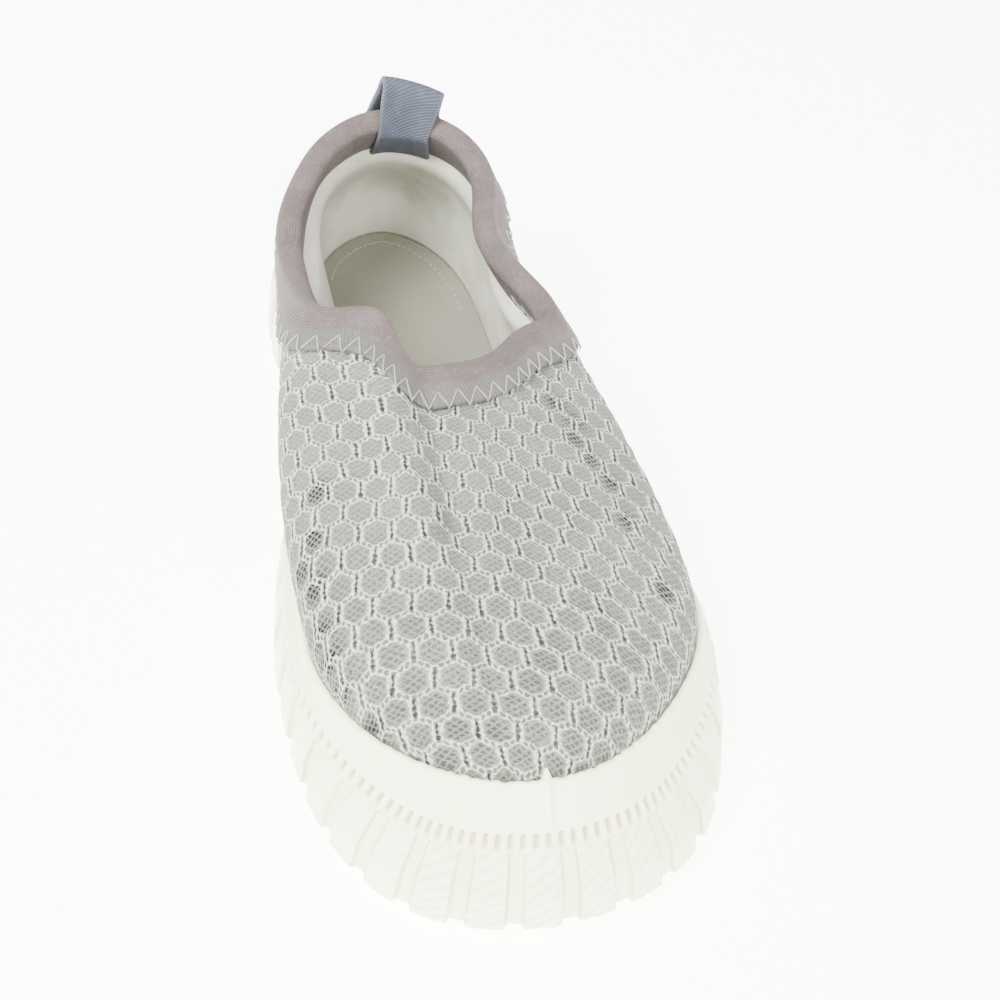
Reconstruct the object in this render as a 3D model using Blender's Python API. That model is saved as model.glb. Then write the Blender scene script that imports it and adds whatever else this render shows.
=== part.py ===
"""Child's slip-on water shoe for the left foot: a knitted mesh upper on a moulded rubber sole.

Metres, +Z up. The toe points to -Y and the outer side of the foot is at +X. The origin is the middle of
the shoe's plan, on the floor.

Everything is worked out from three closed lines: the plan outline of the sole, the top edge of its rubber,
and the topline, which is the rim of the upper at the foot opening. Lines up the wall of the upper join
them, and the sole's cup, the binding, the insole and the pull loop are all offsets of that one wall.
"""

import math

import bmesh
import bpy
import numpy as np

MM = 0.001

# Sole, overall
SHOE_LENGTH = 173 * MM
BALL_WIDTH = 74.5 * MM
HEEL_WIDTH = 52 * MM
TOE_SPRING = 2.5 * MM
FLOOR_THICKNESS = 5 * MM

# Side wall of the sole
LUG_TOP = 12 * MM
LUG_COUNT = 46
LUG_GAP_WIDTH = 2.8 * MM
LUG_GAP_DEPTH = 1 * MM
STEP_WIDTH = 0.6 * MM
RIB_TOP = 14.6 * MM
RIB_DEPTH = 0.8 * MM
RIB_COUNT = 176
RIB_SLOT_WIDTH = 0.9 * MM
SIDE_LEAN = 3.3 * MM
TOE_LEAN = 13.2 * MM
SIDE_EDGE_HEIGHT = 17.7 * MM
TOE_EDGE_HEIGHT = 19.6 * MM
EDGE_THICKNESS = 1.4 * MM

# Tread
TREAD_DEPTH = 1.8 * MM
LUG_REACH = 8.5 * MM
CHANNEL_WIDTH = 2.4 * MM
CHANNEL_DEPTH = 2.1 * MM
BAR_COUNT = 15

# Upper and its topline
WALL = 2.2 * MM
TOPLINE_WIDTH = 45.5 * MM
TOPLINE_CENTRE = -3.5 * MM
HEEL_SETBACK = 22.5 * MM
THROAT_FROM_HEEL = 90.8 * MM
HEEL_HEIGHT = 47.7 * MM
ANKLE_HEIGHT = 39 * MM
INSTEP_HEIGHT = 43 * MM
SIDE_FOOT_INSET = 4.6 * MM
TOE_FOOT_INSET = 8 * MM

# Binding, insole and pull loop
BINDING_WIDTH = 7.5 * MM
BINDING_THICKNESS = 0.9 * MM
INSOLE_THICKNESS = 3 * MM
LOOP_WIDTH = 12.5 * MM
LOOP_THICKNESS = 1 * MM
LOOP_STAND = 8.4 * MM
LOOP_TILT_DEG = 12
LOOP_LEG = 7 * MM

# Room left between pieces that touch
GAP = 0.3 * MM

# Resolution of the solids
COLUMNS = 64
DENSE = 720

# The plan outline. along runs from the heel (0) to the toe (1) as a share of the length. The widths are
# measured from the centre line, as shares of half the heel's width, or of half the ball's width as far as
# front says.
OUTLINE_COLUMNS = ("along", "medial", "lateral", "front")
OUTLINE = [
    (0.06, 0.78, 0.65, 0.0),
    (0.16, 1.037, 0.93, 0.0),
    (0.30, 1.01, 1.00, 0.0),
    (0.45, 0.78, 0.75, 1.0),
    (0.58, 0.938, 0.85, 1.0),
    (0.68, 1.00, 0.985, 1.0),
    (0.78, 0.99, 1.00, 1.0),
    (0.88, 0.892, 0.872, 1.0),
    (0.955, 0.665, 0.63, 1.0),
]
HEEL_CENTRE = 0.07
TOE_CENTRE = -0.2

# The outer face of the sole's wall, bottom to top. lean is how far in from the outline a row lies, as a
# share of the rubber's whole lean there, with its steps left out; rise is a share of the height that
# follows names; steps counts how many step widths it has passed.
FACE_COLUMNS = ("lean", "rise", "follows", "steps")
SOLE_FACE = [
    (0.00, 0.00, "lug", 0),
    (0.14, 0.55, "lug", 0),
    (0.47, 1.00, "lug", 0),
    (0.47, 1.03, "lug", 1),
    (0.62, 1.00, "rib", 1),
]

# The lines up the upper's wall, from the heel round the medial side to the toe and back along the lateral
# side. foot is the place on the outline, as a share of its perimeter. x is a share of half the topline's
# width, back runs from the throat (0) to the heel (1), and heel and instep are the shares of those heights
# above the ankle's. rise and flare are the handle above the rubber's edge: how far up and how far out it
# reaches. side, fore and fall are the handle below the rim: how far it reaches to the lateral side, to the
# toe and down. The last five are millimetres on a shoe of 173 mm.
LINE_COLUMNS = ("foot", "x", "back", "heel", "instep", "rise", "flare", "side", "fore", "fall")
LINES = [
    (0.000, 0.176, 0.980, 1.00, 0.00, 12, 1.0, 0, -5, 10),
    (0.050, -0.185, 0.972, 0.98, 0.00, 12, 1.0, -2, -4, 10),
    (0.093, -0.520, 0.902, 0.85, 0.00, 12, 1.5, -3, -2, 10),
    (0.130, -0.770, 0.785, 0.67, 0.00, 12, 1.5, -2.5, -1, 10),
    (0.163, -0.965, 0.637, 0.38, 0.00, 11, 1.5, -1, 0, 9),
    (0.197, -1.005, 0.464, 0.22, 0.10, 10, 4.0, -2, 0, 9),
    (0.235, -0.965, 0.312, 0.05, 0.82, 10, 5.5, -6.5, 0, 10),
    (0.278, -0.840, 0.202, 0.00, 1.75, 10, 5.5, -11, 5, 11),
    (0.322, -0.593, 0.170, 0.00, 2.10, 10, 4.5, -13, 12, 11),
    (0.366, -0.404, 0.126, 0.00, 1.90, 9, 1.0, -10, 18, 8),
    (0.410, -0.308, 0.029, 0.00, 1.40, 10, -2.0, -7, 24, 6),
    (0.455, -0.110, -0.003, 0.00, 1.15, 11, -5.0, -3, 28, 5),
    (0.503, 0.154, 0.007, 0.00, 0.95, 11, -6.0, 0, 28, 5),
    (0.550, 0.418, 0.056, 0.00, 0.72, 11, -4.0, 4, 25, 5),
    (0.600, 0.681, 0.143, 0.00, 0.40, 11, -2.0, 7, 20, 6),
    (0.652, 0.930, 0.193, 0.00, 0.17, 10, 0.0, 7, 12, 8),
    (0.706, 0.970, 0.297, 0.00, 0.00, 10, 1.0, 5, 4, 9),
    (0.762, 0.800, 0.460, 0.00, 0.00, 11, 1.5, 4.5, 0, 9),
    (0.820, 0.740, 0.620, 0.08, 0.00, 11, 1.5, 4, 0, 9),
    (0.878, 0.805, 0.772, 0.48, 0.00, 12, 1.5, 4, -1, 10),
    (0.940, 0.590, 0.914, 0.86, 0.00, 12, 1.0, 3, -3, 10),
]


def column(table, names, name):
    """One named column of a table, as an array."""
    place = names.index(name)
    return np.array([row[place] for row in table], dtype=float)


class Loop:
    """A smooth closed curve through knots: a cubic spline with matching curvature all round."""

    def __init__(self, knots, at=None):
        self.knots = np.asarray(knots, dtype=float)
        count = len(self.knots)
        if at is None:
            steps = np.linalg.norm(np.roll(self.knots, -1, 0) - self.knots, axis=1)
            at = np.r_[0, np.cumsum(steps)]
        self.at = np.asarray(at, dtype=float)
        step = np.diff(self.at)[:, None]
        slope = (np.roll(self.knots, -1, 0) - self.knots) / step
        system = np.zeros((count, count))
        for i in range(count):
            system[i, i - 1] += step[i - 1, 0]
            system[i, i] += 2 * (step[i - 1, 0] + step[i, 0])
            system[i, (i + 1) % count] += step[i, 0]
        self.bend = np.linalg.solve(system, 6 * (slope - np.roll(slope, 1, 0)))

    def __call__(self, place):
        """Points at these places, measured as the knots' own places are."""
        span = self.at[-1] - self.at[0]
        place = (np.asarray(place, dtype=float) - self.at[0]) % span + self.at[0]
        i = np.clip(np.searchsorted(self.at, place, side="right") - 1, 0, len(self.knots) - 1)
        j = (i + 1) % len(self.knots)
        step = (self.at[i + 1] - self.at[i])[:, None]
        ahead = (self.at[i + 1] - place)[:, None]
        behind = (place - self.at[i])[:, None]
        return (
            (self.bend[i] * ahead**3 + self.bend[j] * behind**3) / (6 * step)
            + (self.knots[i] / step - self.bend[i] * step / 6) * ahead
            + (self.knots[j] / step - self.bend[j] * step / 6) * behind
        )


def outline_knots():
    """The outline's knots: heel, medial side, toe, lateral side."""
    along, medial, lateral, front = (column(OUTLINE, OUTLINE_COLUMNS, n) for n in OUTLINE_COLUMNS)
    half = (HEEL_WIDTH + (BALL_WIDTH - HEEL_WIDTH) * front) / 2
    y = (0.5 - along) * SHOE_LENGTH
    heel = [[HEEL_CENTRE * HEEL_WIDTH / 2, SHOE_LENGTH / 2]]
    toe = [[TOE_CENTRE * BALL_WIDTH / 2, -SHOE_LENGTH / 2]]
    down = np.stack([-medial * half, y], 1)
    back = np.stack([lateral * half, y], 1)[::-1]
    return np.concatenate([heel, down, toe, back])


def even_outline():
    """The outline by share of its perimeter, from the heel round the medial side, as a closed curve."""
    rough = Loop(outline_knots())
    place = np.linspace(0, rough.at[-1], DENSE + 1)
    points = rough(place)
    middle = (points.min(0) + points.max(0)) / 2
    length = np.r_[0, np.cumsum(np.linalg.norm(np.diff(points, axis=0), axis=1))]
    share = np.linspace(0, 1, DENSE // 4, endpoint=False)
    even = rough(np.interp(share * length[-1], length, place))
    return Loop(even - middle, np.r_[share, 1])


OUTLINE_LOOP = even_outline()


def outline_frame(share):
    """Plan points of the outline at these shares, with the direction along it and the one out of it."""
    share = np.atleast_1d(share)
    here = OUTLINE_LOOP(share)
    step = 1e-4
    along = OUTLINE_LOOP(share + step) - OUTLINE_LOOP(share - step)
    along /= np.linalg.norm(along, axis=1)[:, None]
    out = np.stack([along[:, 1], -along[:, 0]], 1)
    return here, along, out


def spring(y):
    """How far the sole has left the floor at this distance along the shoe."""
    share = np.clip((-y / SHOE_LENGTH - 0.2) / 0.3, 0, 1)
    return TOE_SPRING * share**2


def toe_weight(y):
    """1 over the toe, 0 behind the ball, smooth between."""
    share = np.clip((-y / SHOE_LENGTH - 0.22) / 0.26, 0, 1)
    return share * share * (3 - 2 * share)


def whole_lean(y):
    """How far in from the outline the rubber's top edge lies."""
    return SIDE_LEAN + (TOE_LEAN - SIDE_LEAN) * toe_weight(y)


def edge_height(y):
    """The height of the rubber's top edge above the floor."""
    return SIDE_EDGE_HEIGHT + (TOE_EDGE_HEIGHT - SIDE_EDGE_HEIGHT) * toe_weight(y) + spring(y)


def line_shape(u):
    """The table of lines, smoothed round the shoe, at these places, u from 0 to 1."""
    rows = {n: column(LINES, LINE_COLUMNS, n) for n in LINE_COLUMNS}
    place = np.linspace(0, 1, len(LINES) + 1)
    # The foot runs on round the outline, so what repeats is its lead over u.
    rows["foot"] = rows["foot"] - place[:-1]
    made = Loop(np.stack([rows[n] for n in LINE_COLUMNS], 1), place)(u)
    shape = {n: made[:, i] for i, n in enumerate(LINE_COLUMNS)}
    shape["foot"] = shape["foot"] + u
    return shape


def line_handles(u):
    """The points that shape the wall's lines: two inside the cup, then the four above the rubber's edge."""
    shape = line_shape(u)
    size = SHOE_LENGTH / 173
    here, _, out = outline_frame(shape["foot"])
    lean = whole_lean(here[:, 1])
    height = edge_height(here[:, 1])

    edge = np.column_stack([here - out * (lean + EDGE_THICKNESS + GAP)[:, None], height])
    lower = np.column_stack([edge[:, :2] + out * (shape["flare"] * size)[:, None], height + shape["rise"] * size])
    inset = SIDE_FOOT_INSET + (TOE_FOOT_INSET - SIDE_FOOT_INSET) * toe_weight(here[:, 1])
    plan = here - out * inset[:, None]
    base = np.column_stack([plan, FLOOR_THICKNESS + spring(plan[:, 1])])
    down = 0.5 * (height - base[:, 2]) / (lower[:, 2] - height)
    knee = edge - (lower - edge) * down[:, None]

    throat = SHOE_LENGTH / 2 - THROAT_FROM_HEEL
    rear = SHOE_LENGTH / 2 - HEEL_SETBACK
    rim = np.column_stack([
        TOPLINE_CENTRE + shape["x"] * TOPLINE_WIDTH / 2,
        throat + shape["back"] * (rear - throat),
        ANKLE_HEIGHT
        + shape["heel"] * (HEEL_HEIGHT - ANKLE_HEIGHT)
        + shape["instep"] * (INSTEP_HEIGHT - ANKLE_HEIGHT),
    ])
    upper = rim + np.column_stack([shape["side"], -shape["fore"], -shape["fall"]]) * size
    return base, knee, edge, lower, upper, rim


def wall_face(u, v):
    """Points of the upper's outer face at u round the shoe and v up the wall.

    v is -1 on the sole's floor, 0 at the rubber's top edge and 1 at the rim: a quadratic curve inside the
    cup, then a cubic one that leaves it in the same direction.
    """
    base, knee, edge, lower, upper, rim = line_handles(u)
    w = np.clip(v, -1, 0)[:, None] + 1
    inside = base * (1 - w) ** 2 + 2 * knee * w * (1 - w) + edge * w**2
    w = np.clip(v, 0, 1)[:, None]
    above = edge * (1 - w) ** 3 + 3 * lower * w * (1 - w) ** 2 + 3 * upper * w**2 * (1 - w) + rim * w**3
    return np.where(v[:, None] < 0, inside, above)


def wall_points(u, v, offset=0.0):
    """The wall's points at u and v, moved out of its face by offset."""
    u = np.atleast_1d(np.asarray(u, dtype=float))
    v = np.broadcast_to(np.asarray(v, dtype=float), u.shape)
    points = wall_face(u, v)
    if np.all(np.asarray(offset) == 0):
        return points
    step = 2e-3
    round_it = wall_face(u + step, v) - wall_face(u - step, v)
    up_it = wall_face(u, np.minimum(v + step, 1)) - wall_face(u, np.maximum(v - step, -1))
    normal = np.cross(round_it, up_it)
    normal /= np.linalg.norm(normal, axis=1)[:, None]
    return points + normal * np.broadcast_to(offset, u.shape)[:, None]


def columns_round():
    """Where the columns of the solids stand: at even steps round the outline."""
    u = np.linspace(-0.1, 1.1, DENSE)
    return np.interp(np.arange(COLUMNS) / COLUMNS, line_shape(u)["foot"], u)


def foot_points(u, height, offset):
    """The wall's foot at this height above the sole's underside, on the straight line of the cup's wall."""
    low, high = wall_points(u, -1, offset), wall_points(u, -0.5, offset)
    share = (height + spring(low[:, 1]) - low[:, 2]) / (high[:, 2] - low[:, 2])
    return low + (high - low) * share[:, None]


def length_to_v(u, distance):
    """Where each line has run this distance down from the rim."""
    steps = np.linspace(1, 0, 61)
    points = np.stack([wall_points(u, s) for s in steps], 1)
    run = np.linalg.norm(np.diff(points, axis=1), axis=2).cumsum(axis=1)
    run = np.concatenate([np.zeros((len(u), 1)), run], axis=1)
    return np.array([np.interp(distance, row, steps) for row in run])


def skin(name, rings, caps=False):
    """A closed solid through rings of points: a tube joined end to end, or one closed by two caps.

    The walls are triangles that always split the same way, from the lower ring on to the higher one, so
    that faces a small gap apart keep it. A cap is a ladder of strips across the shoe.
    """
    count, around = len(rings), len(rings[0])
    faces = []
    for r in range(count - 1 if caps else count):
        first, second = r * around, (r + 1) % count * around
        climbs = rings[r][:, 2] <= rings[(r + 1) % count][:, 2]
        for i in range(around):
            j = (i + 1) % around
            a, b, c, d = first + i, first + j, second + j, second + i
            faces += [(a, b, c), (a, c, d)] if climbs[i] else [(a, b, d), (b, c, d)]
    if caps:
        for base, turn in ((0, -1), ((count - 1) * around, 1)):
            for i in range(around // 2):
                strip = [base + i, base + i + 1, base + (around - i - 1) % around, base + (around - i) % around]
                faces.append(tuple(dict.fromkeys(strip))[::turn])
    mesh = bpy.data.meshes.new(name)
    mesh.from_pydata(np.concatenate(rings).tolist(), [], faces)
    mesh.update()
    return bpy.data.objects.new(name, mesh)


def face_out(mesh):
    """Turns every face of closed shells to look out."""
    bm = bmesh.new()
    bm.from_mesh(mesh)
    bmesh.ops.recalc_face_normals(bm, faces=bm.faces)
    bm.to_mesh(mesh)
    bm.free()


def prisms(name, ends):
    """One mesh of separate prisms, each given as the points of its first end, then of its second."""
    points, faces = [], []
    for both in ends:
        base, n = len(points), len(both) // 2
        points += both
        faces.append(tuple(base + i for i in range(n)))
        faces.append(tuple(base + n + i for i in range(n)))
        faces += [(base + i, base + (i + 1) % n, base + n + (i + 1) % n, base + n + i) for i in range(n)]
    mesh = bpy.data.meshes.new(name)
    mesh.from_pydata(points, [], faces)
    mesh.update()
    face_out(mesh)
    return bpy.data.objects.new(name, mesh)


def material(name, colour, roughness):
    """A Principled material of one colour."""
    made = bpy.data.materials.new(name)
    made.use_nodes = True
    shader = made.node_tree.nodes["Principled BSDF"]
    shader.inputs["Base Color"].default_value = (*colour, 1)
    shader.inputs["Roughness"].default_value = roughness
    return made


def as_part(made, collection, finish):
    """Links a solid to the parts, with its material."""
    collection.objects.link(made)
    made.data.materials.append(finish)
    made.data.shade_smooth()
    made.data.set_sharp_from_angle(angle=math.radians(35))
    return made


def as_cutter(made, collection):
    """Links a helper that only cuts."""
    collection.objects.link(made)
    made.hide_render = True
    made.display_type = "WIRE"
    return made


def cut(target, cutter):
    """Takes the cutter's shape out of the target."""
    modifier = target.modifiers.new("cut_" + cutter.name, "BOOLEAN")
    modifier.operation = "DIFFERENCE"
    modifier.solver = "EXACT"
    modifier.object = cutter


def face_inset(y, row):
    """How far in from the outline a row of the sole's face lies."""
    values = dict(zip(FACE_COLUMNS, SOLE_FACE[row]))
    return values["lean"] * (whole_lean(y) - STEP_WIDTH) + values["steps"] * STEP_WIDTH


def face_height(row):
    """How high a row of the sole's face lies above the tread."""
    values = dict(zip(FACE_COLUMNS, SOLE_FACE[row]))
    return values["rise"] * {"lug": LUG_TOP, "rib": RIB_TOP}[values["follows"]]


def sole_rings(u):
    """The sole's rings: out across the tread's channel, up the wall, over its edge and down into the cup."""
    here, _, out = outline_frame(line_shape(u)["foot"])
    lift = spring(here[:, 1])
    rings = []
    for inset, rise in ((CHANNEL_WIDTH, 0), (CHANNEL_WIDTH, CHANNEL_DEPTH), (0, CHANNEL_DEPTH), (0, 0)):
        plan = here - out * (LUG_REACH + inset)
        rings.append(np.column_stack([plan, rise + spring(plan[:, 1])]))
    for row in range(len(SOLE_FACE)):
        plan = here - out * face_inset(here[:, 1], row)[:, None]
        rings.append(np.column_stack([plan, face_height(row) + lift]))
    rings.append(wall_points(u, -0.12, GAP + EDGE_THICKNESS))
    rings.append(wall_points(u, 0, GAP + 0.6 * EDGE_THICKNESS))
    rings.append(wall_points(u, 0, GAP))
    rings.append(wall_points(u, -0.5, GAP))
    rings.append(foot_points(u, FLOOR_THICKNESS, GAP))
    return rings


def across_wall(profile, share, width):
    """A prism's points: a profile of (distance in from the outline, height) carried along the wall."""
    here, along, out = (a[0] for a in outline_frame(share))
    lift = float(spring(here[1]))
    points = []
    for side in (-0.5, 0.5):
        for inset, height in profile:
            plan = here + along * side * width - out * inset
            points.append((plan[0], plan[1], height + lift))
    return points


def lug_gaps():
    """The gaps between the lugs, down the wall to the floor. Their back follows the lugs' own face."""
    beyond = 3 * MM
    top = (face_height(2) + face_height(3)) / 2
    ends = []
    for share in (np.arange(LUG_COUNT) + 0.5) / LUG_COUNT:
        y = OUTLINE_LOOP(np.array([share]))[0, 1]
        low = face_inset(y, 0) + LUG_GAP_DEPTH
        profile = [
            (-beyond, -beyond),
            (low, -beyond),
            (face_inset(y, 1) + LUG_GAP_DEPTH, face_height(1)),
            (face_inset(y, 3), top),
            (-beyond, top),
        ]
        ends.append(across_wall(profile, share, LUG_GAP_WIDTH))
    return prisms("lug_gaps", ends)


def rib_slots():
    """The slots between the ribs of the band above the lugs: upright wedges, pointed inwards."""
    margin = 0.2 * MM
    reach = 0.5 * MM
    half = RIB_SLOT_WIDTH / 2 * (RIB_DEPTH + reach) / RIB_DEPTH
    ends = []
    for share in (np.arange(RIB_COUNT) + 0.5) / RIB_COUNT:
        here, along, out = (a[0] for a in outline_frame(share))
        lift = float(spring(here[1]))
        points = []
        for row, height in ((3, face_height(3) + margin), (4, face_height(4) - margin)):
            for side, deep in ((-half, -reach), (half, -reach), (0, RIB_DEPTH)):
                plan = here + along * side - out * (face_inset(here[1], row) + deep)
                points.append((plan[0], plan[1], height + lift))
        ends.append(points)
    return prisms("rib_slots", ends)


def tread_bars():
    """The channels across the middle of the tread, each from one side of the channel round it to the other."""
    depth = np.array([-1, TREAD_DEPTH / MM]) * MM
    inset = LUG_REACH + CHANNEL_WIDTH / 2
    ends = []
    for n in range(BAR_COUNT):
        y = (0.5 - (n + 1) / (BAR_COUNT + 1)) * (SHOE_LENGTH - 2 * inset)
        share = np.arange(DENSE) / DENSE
        here, _, out = outline_frame(share)
        line = here - out * inset
        near = [line[side][np.argmin(abs(line[side, 1] - y))] for side in (share < 0.5, share >= 0.5)]
        both = []
        for x in (near[0][0], near[1][0]):
            for dy, z in ((-0.5, 0), (0.5, 0), (0.5, 1), (-0.5, 1)):
                both.append((x, y + dy * CHANNEL_WIDTH, depth[z] + float(spring(y))))
        ends.append(both)
    return prisms("tread_bars", ends)


def build_sole(collection, cutters, finish):
    """The moulded sole: cup, side wall with lugs and ribs, and tread."""
    sole = as_part(skin("sole", sole_rings(columns_round()), caps=True), collection, finish)
    cut(sole, as_cutter(lug_gaps(), cutters))
    cut(sole, as_cutter(rib_slots(), cutters))
    cut(sole, as_cutter(tread_bars(), cutters))
    return sole


def build_upper(collection, finish):
    """The upper: one hollow wall, open at the topline and underneath."""
    u = columns_round()
    levels = [-0.5, 0, 0.12, 0.26, 0.4, 0.55, 0.7, 0.85, 1]
    low = FLOOR_THICKNESS + GAP
    outer = [foot_points(u, low, 0)] + [wall_points(u, v) for v in levels]
    inner = [wall_points(u, v, -WALL) for v in levels[::-1]] + [foot_points(u, low, -WALL)]
    return as_part(skin("upper", outer + inner), collection, finish)


def build_binding(collection, finish):
    """The elastic binding folded over the rim: an outer leg, the fold and an inner leg."""
    u = columns_round()
    foot = length_to_v(u, BINDING_WIDTH)
    up = wall_points(u, 1) - wall_points(u, 0.97)
    up /= np.linalg.norm(up, axis=1)[:, None]

    def at(v, offset, raise_by=0.0):
        return wall_points(u, v, offset) + up * raise_by

    near, far = GAP, GAP + BINDING_THICKNESS
    half = (1 + foot) / 2
    rings = [
        at(foot, near),
        at(foot, far),
        at(half, far),
        at(1, far),
        at(1, -0.5 * WALL + 0.4 * far, far),
        at(1, -0.5 * WALL - 0.4 * far, far),
        at(1, -WALL - far),
        at(half, -WALL - far),
        at(foot, -WALL - far),
        at(foot, -WALL - near),
        at(half, -WALL - near),
        at(1, -WALL - near, near),
        at(1, near, near),
        at(half, near),
    ]
    return as_part(skin("collar_binding", rings), collection, finish)


def build_insole(collection, finish):
    """The insole: a flat pad that lies in the cup, inside the upper's wall."""
    u = columns_round()
    rings = []
    for height, inset in ((0, 0), (0.75, 0), (1, 0.25)):
        z = FLOOR_THICKNESS + GAP + height * INSOLE_THICKNESS
        rings.append(foot_points(u, z, -WALL - GAP - inset * INSOLE_THICKNESS))
    return as_part(skin("insole", rings, caps=True), collection, finish)


def ribbon_path():
    """The pull loop's own line from its inner leg to its outer one: (out of the wall, above the rim)."""
    outer = 2 * GAP + BINDING_THICKNESS + LOOP_THICKNESS / 2
    inner = -WALL - outer
    middle = (inner + outer) / 2
    reach = (outer - inner) / 2
    fold = 0.8 * LOOP_THICKNESS
    right = [
        (outer, -LOOP_LEG),
        (outer, -0.5 * LOOP_LEG),
        (outer, 0.0),
        (middle + 0.75 * reach, 0.28 * LOOP_STAND),
        (middle + 1.6 * fold, 0.62 * LOOP_STAND),
        (middle + 1.3 * fold, 0.85 * LOOP_STAND),
        (middle + 0.7 * fold, 0.97 * LOOP_STAND),
    ]
    left = [(2 * middle - a, b) for a, b in right]
    return np.array(left + [(middle, LOOP_STAND)] + right[::-1])


def build_loop(collection, finish):
    """The ribbon pull loop: it straddles the binding at the heel and stands above it."""
    path = ribbon_path()
    run = np.gradient(path, axis=0)
    run /= np.linalg.norm(run, axis=1)[:, None]
    side = np.stack([-run[:, 1], run[:, 0]], 1)
    tip = np.linalg.norm(wall_points(0.01, 1) - wall_points(-0.01, 1))
    across = np.linspace(-0.5, 0.5, 6) * LOOP_WIDTH
    u = across / tip * 0.02
    tilt = math.radians(LOOP_TILT_DEG)
    rings = []
    for (distance, height), turn in zip(path, side * LOOP_THICKNESS / 2):
        ring = []
        for way in (1, -1):
            out, rise = distance + way * turn[0], height + way * turn[1]
            row = wall_points(u, length_to_v(u, max(0.0, -rise)), out)
            share = max(0.0, rise) / LOOP_STAND
            row[:, 0] += share * LOOP_STAND * math.sin(tilt)
            row[:, 2] += share * (LOOP_STAND * math.cos(tilt) + across * math.sin(tilt))
            ring.append(row[::way])
        rings.append(np.concatenate(ring))
    around = len(rings[0])
    faces = [tuple(range(around)), tuple(range((len(rings) - 1) * around, len(rings) * around))]
    for r in range(len(rings) - 1):
        low = r * around
        for i in range(around):
            j = (i + 1) % around
            faces.append((low + i, low + j, low + around + j, low + around + i))
    mesh = bpy.data.meshes.new("pull_loop")
    mesh.from_pydata(np.concatenate(rings).tolist(), [], faces)
    mesh.update()
    face_out(mesh)
    return as_part(bpy.data.objects.new("pull_loop", mesh), collection, finish)


def new_collection(name):
    """A collection of its own in the scene."""
    made = bpy.data.collections.new(name)
    bpy.context.scene.collection.children.link(made)
    return made


def main():
    for old in list(bpy.data.objects):
        bpy.data.objects.remove(old)
    parts = new_collection("water_shoe")
    cutters = new_collection("cutters")
    build_sole(parts, cutters, material("cream_rubber", (0.83, 0.81, 0.72), 0.45))
    build_upper(parts, material("grey_mesh_fabric", (0.56, 0.58, 0.56), 0.9))
    build_binding(parts, material("lilac_grey_elastic", (0.50, 0.46, 0.46), 0.85))
    build_insole(parts, material("pale_insole_foam", (0.66, 0.65, 0.60), 0.9))
    build_loop(parts, material("slate_twill_ribbon", (0.13, 0.16, 0.20), 0.8))


main()
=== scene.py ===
"""The looks of a child's slip-on water shoe: knitted mesh, padded lining, elastic, twill loop, rubber sole.

Lengths are millimetres here and metres in Blender. The shoe's wall is one surface with two parameters. u runs
round the shoe from the heel by the medial side to the toe and back. v runs up the wall: -1 on the sole's
floor, 0 at the rubber's top edge, 1 at the rim. Every piece is an offset of that wall.
"""

import math

import bpy
import numpy as np
from mathutils import Matrix


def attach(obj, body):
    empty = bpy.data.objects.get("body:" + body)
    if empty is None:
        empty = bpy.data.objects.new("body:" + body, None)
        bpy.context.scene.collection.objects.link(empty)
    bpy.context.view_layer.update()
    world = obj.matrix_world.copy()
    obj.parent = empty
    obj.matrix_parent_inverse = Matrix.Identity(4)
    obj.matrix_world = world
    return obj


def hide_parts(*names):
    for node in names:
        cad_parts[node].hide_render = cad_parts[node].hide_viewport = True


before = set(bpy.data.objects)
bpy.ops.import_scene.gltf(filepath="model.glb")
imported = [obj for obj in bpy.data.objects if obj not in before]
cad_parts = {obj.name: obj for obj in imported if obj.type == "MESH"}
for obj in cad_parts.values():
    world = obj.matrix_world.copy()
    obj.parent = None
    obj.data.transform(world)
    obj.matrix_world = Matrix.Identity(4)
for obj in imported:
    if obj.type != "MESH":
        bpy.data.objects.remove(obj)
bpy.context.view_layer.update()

# Sole
SHOE_LENGTH = 173.0
BALL_WIDTH = 74.5
HEEL_WIDTH = 52.0
TOE_SPRING = 2.5
FLOOR_THICKNESS = 5.0
LUG_TOP = 12.0
LEDGE = 1.03 * LUG_TOP
LUG_COUNT = 46
LUG_GAP_WIDTH = 2.8
LUG_GAP_DEPTH = 1.0
STEP_WIDTH = 0.6
RIB_TOP = 14.6
RIB_DEPTH = 0.8
RIB_COUNT = 176
RIB_SLOT_WIDTH = 0.9
SIDE_LEAN = 3.3
TOE_LEAN = 13.2
SIDE_EDGE_HEIGHT = 17.7
TOE_EDGE_HEIGHT = 19.6
EDGE_THICKNESS = 1.4
TREAD_DEPTH = 1.8
LUG_REACH = 8.5
CHANNEL_WIDTH = 2.4
CHANNEL_DEPTH = 2.1
BAR_COUNT = 15
SOLE_COLUMNS = 8 * RIB_COUNT

# The mould's parting line at the toe: its share of the outline, its bead's height and half width, and the
# pointed tip that it ends in.
PARTING = 0.504
BEAD = 0.35
BEAD_WIDTH = 0.55
TIP_HEIGHT = 1.5
TIP_WIDTH = 1.1

# Upper, binding, insole and pull loop
WALL = 2.2
TOPLINE_WIDTH = 45.5
TOPLINE_CENTRE = -3.5
HEEL_SETBACK = 22.5
THROAT_FROM_HEEL = 90.8
HEEL_HEIGHT = 47.7
ANKLE_HEIGHT = 39.0
INSTEP_HEIGHT = 43.0
SIDE_FOOT_INSET = 4.6
TOE_FOOT_INSET = 8.0
BINDING_WIDTH = 7.5
BINDING_THICKNESS = 0.9
INSOLE_THICKNESS = 3.0
LOOP_WIDTH = 12.5
LOOP_THICKNESS = 1.0
LOOP_STAND = 8.4
LOOP_TILT_DEG = 12
LOOP_LEG = 7.0
GAP = 0.3

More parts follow.
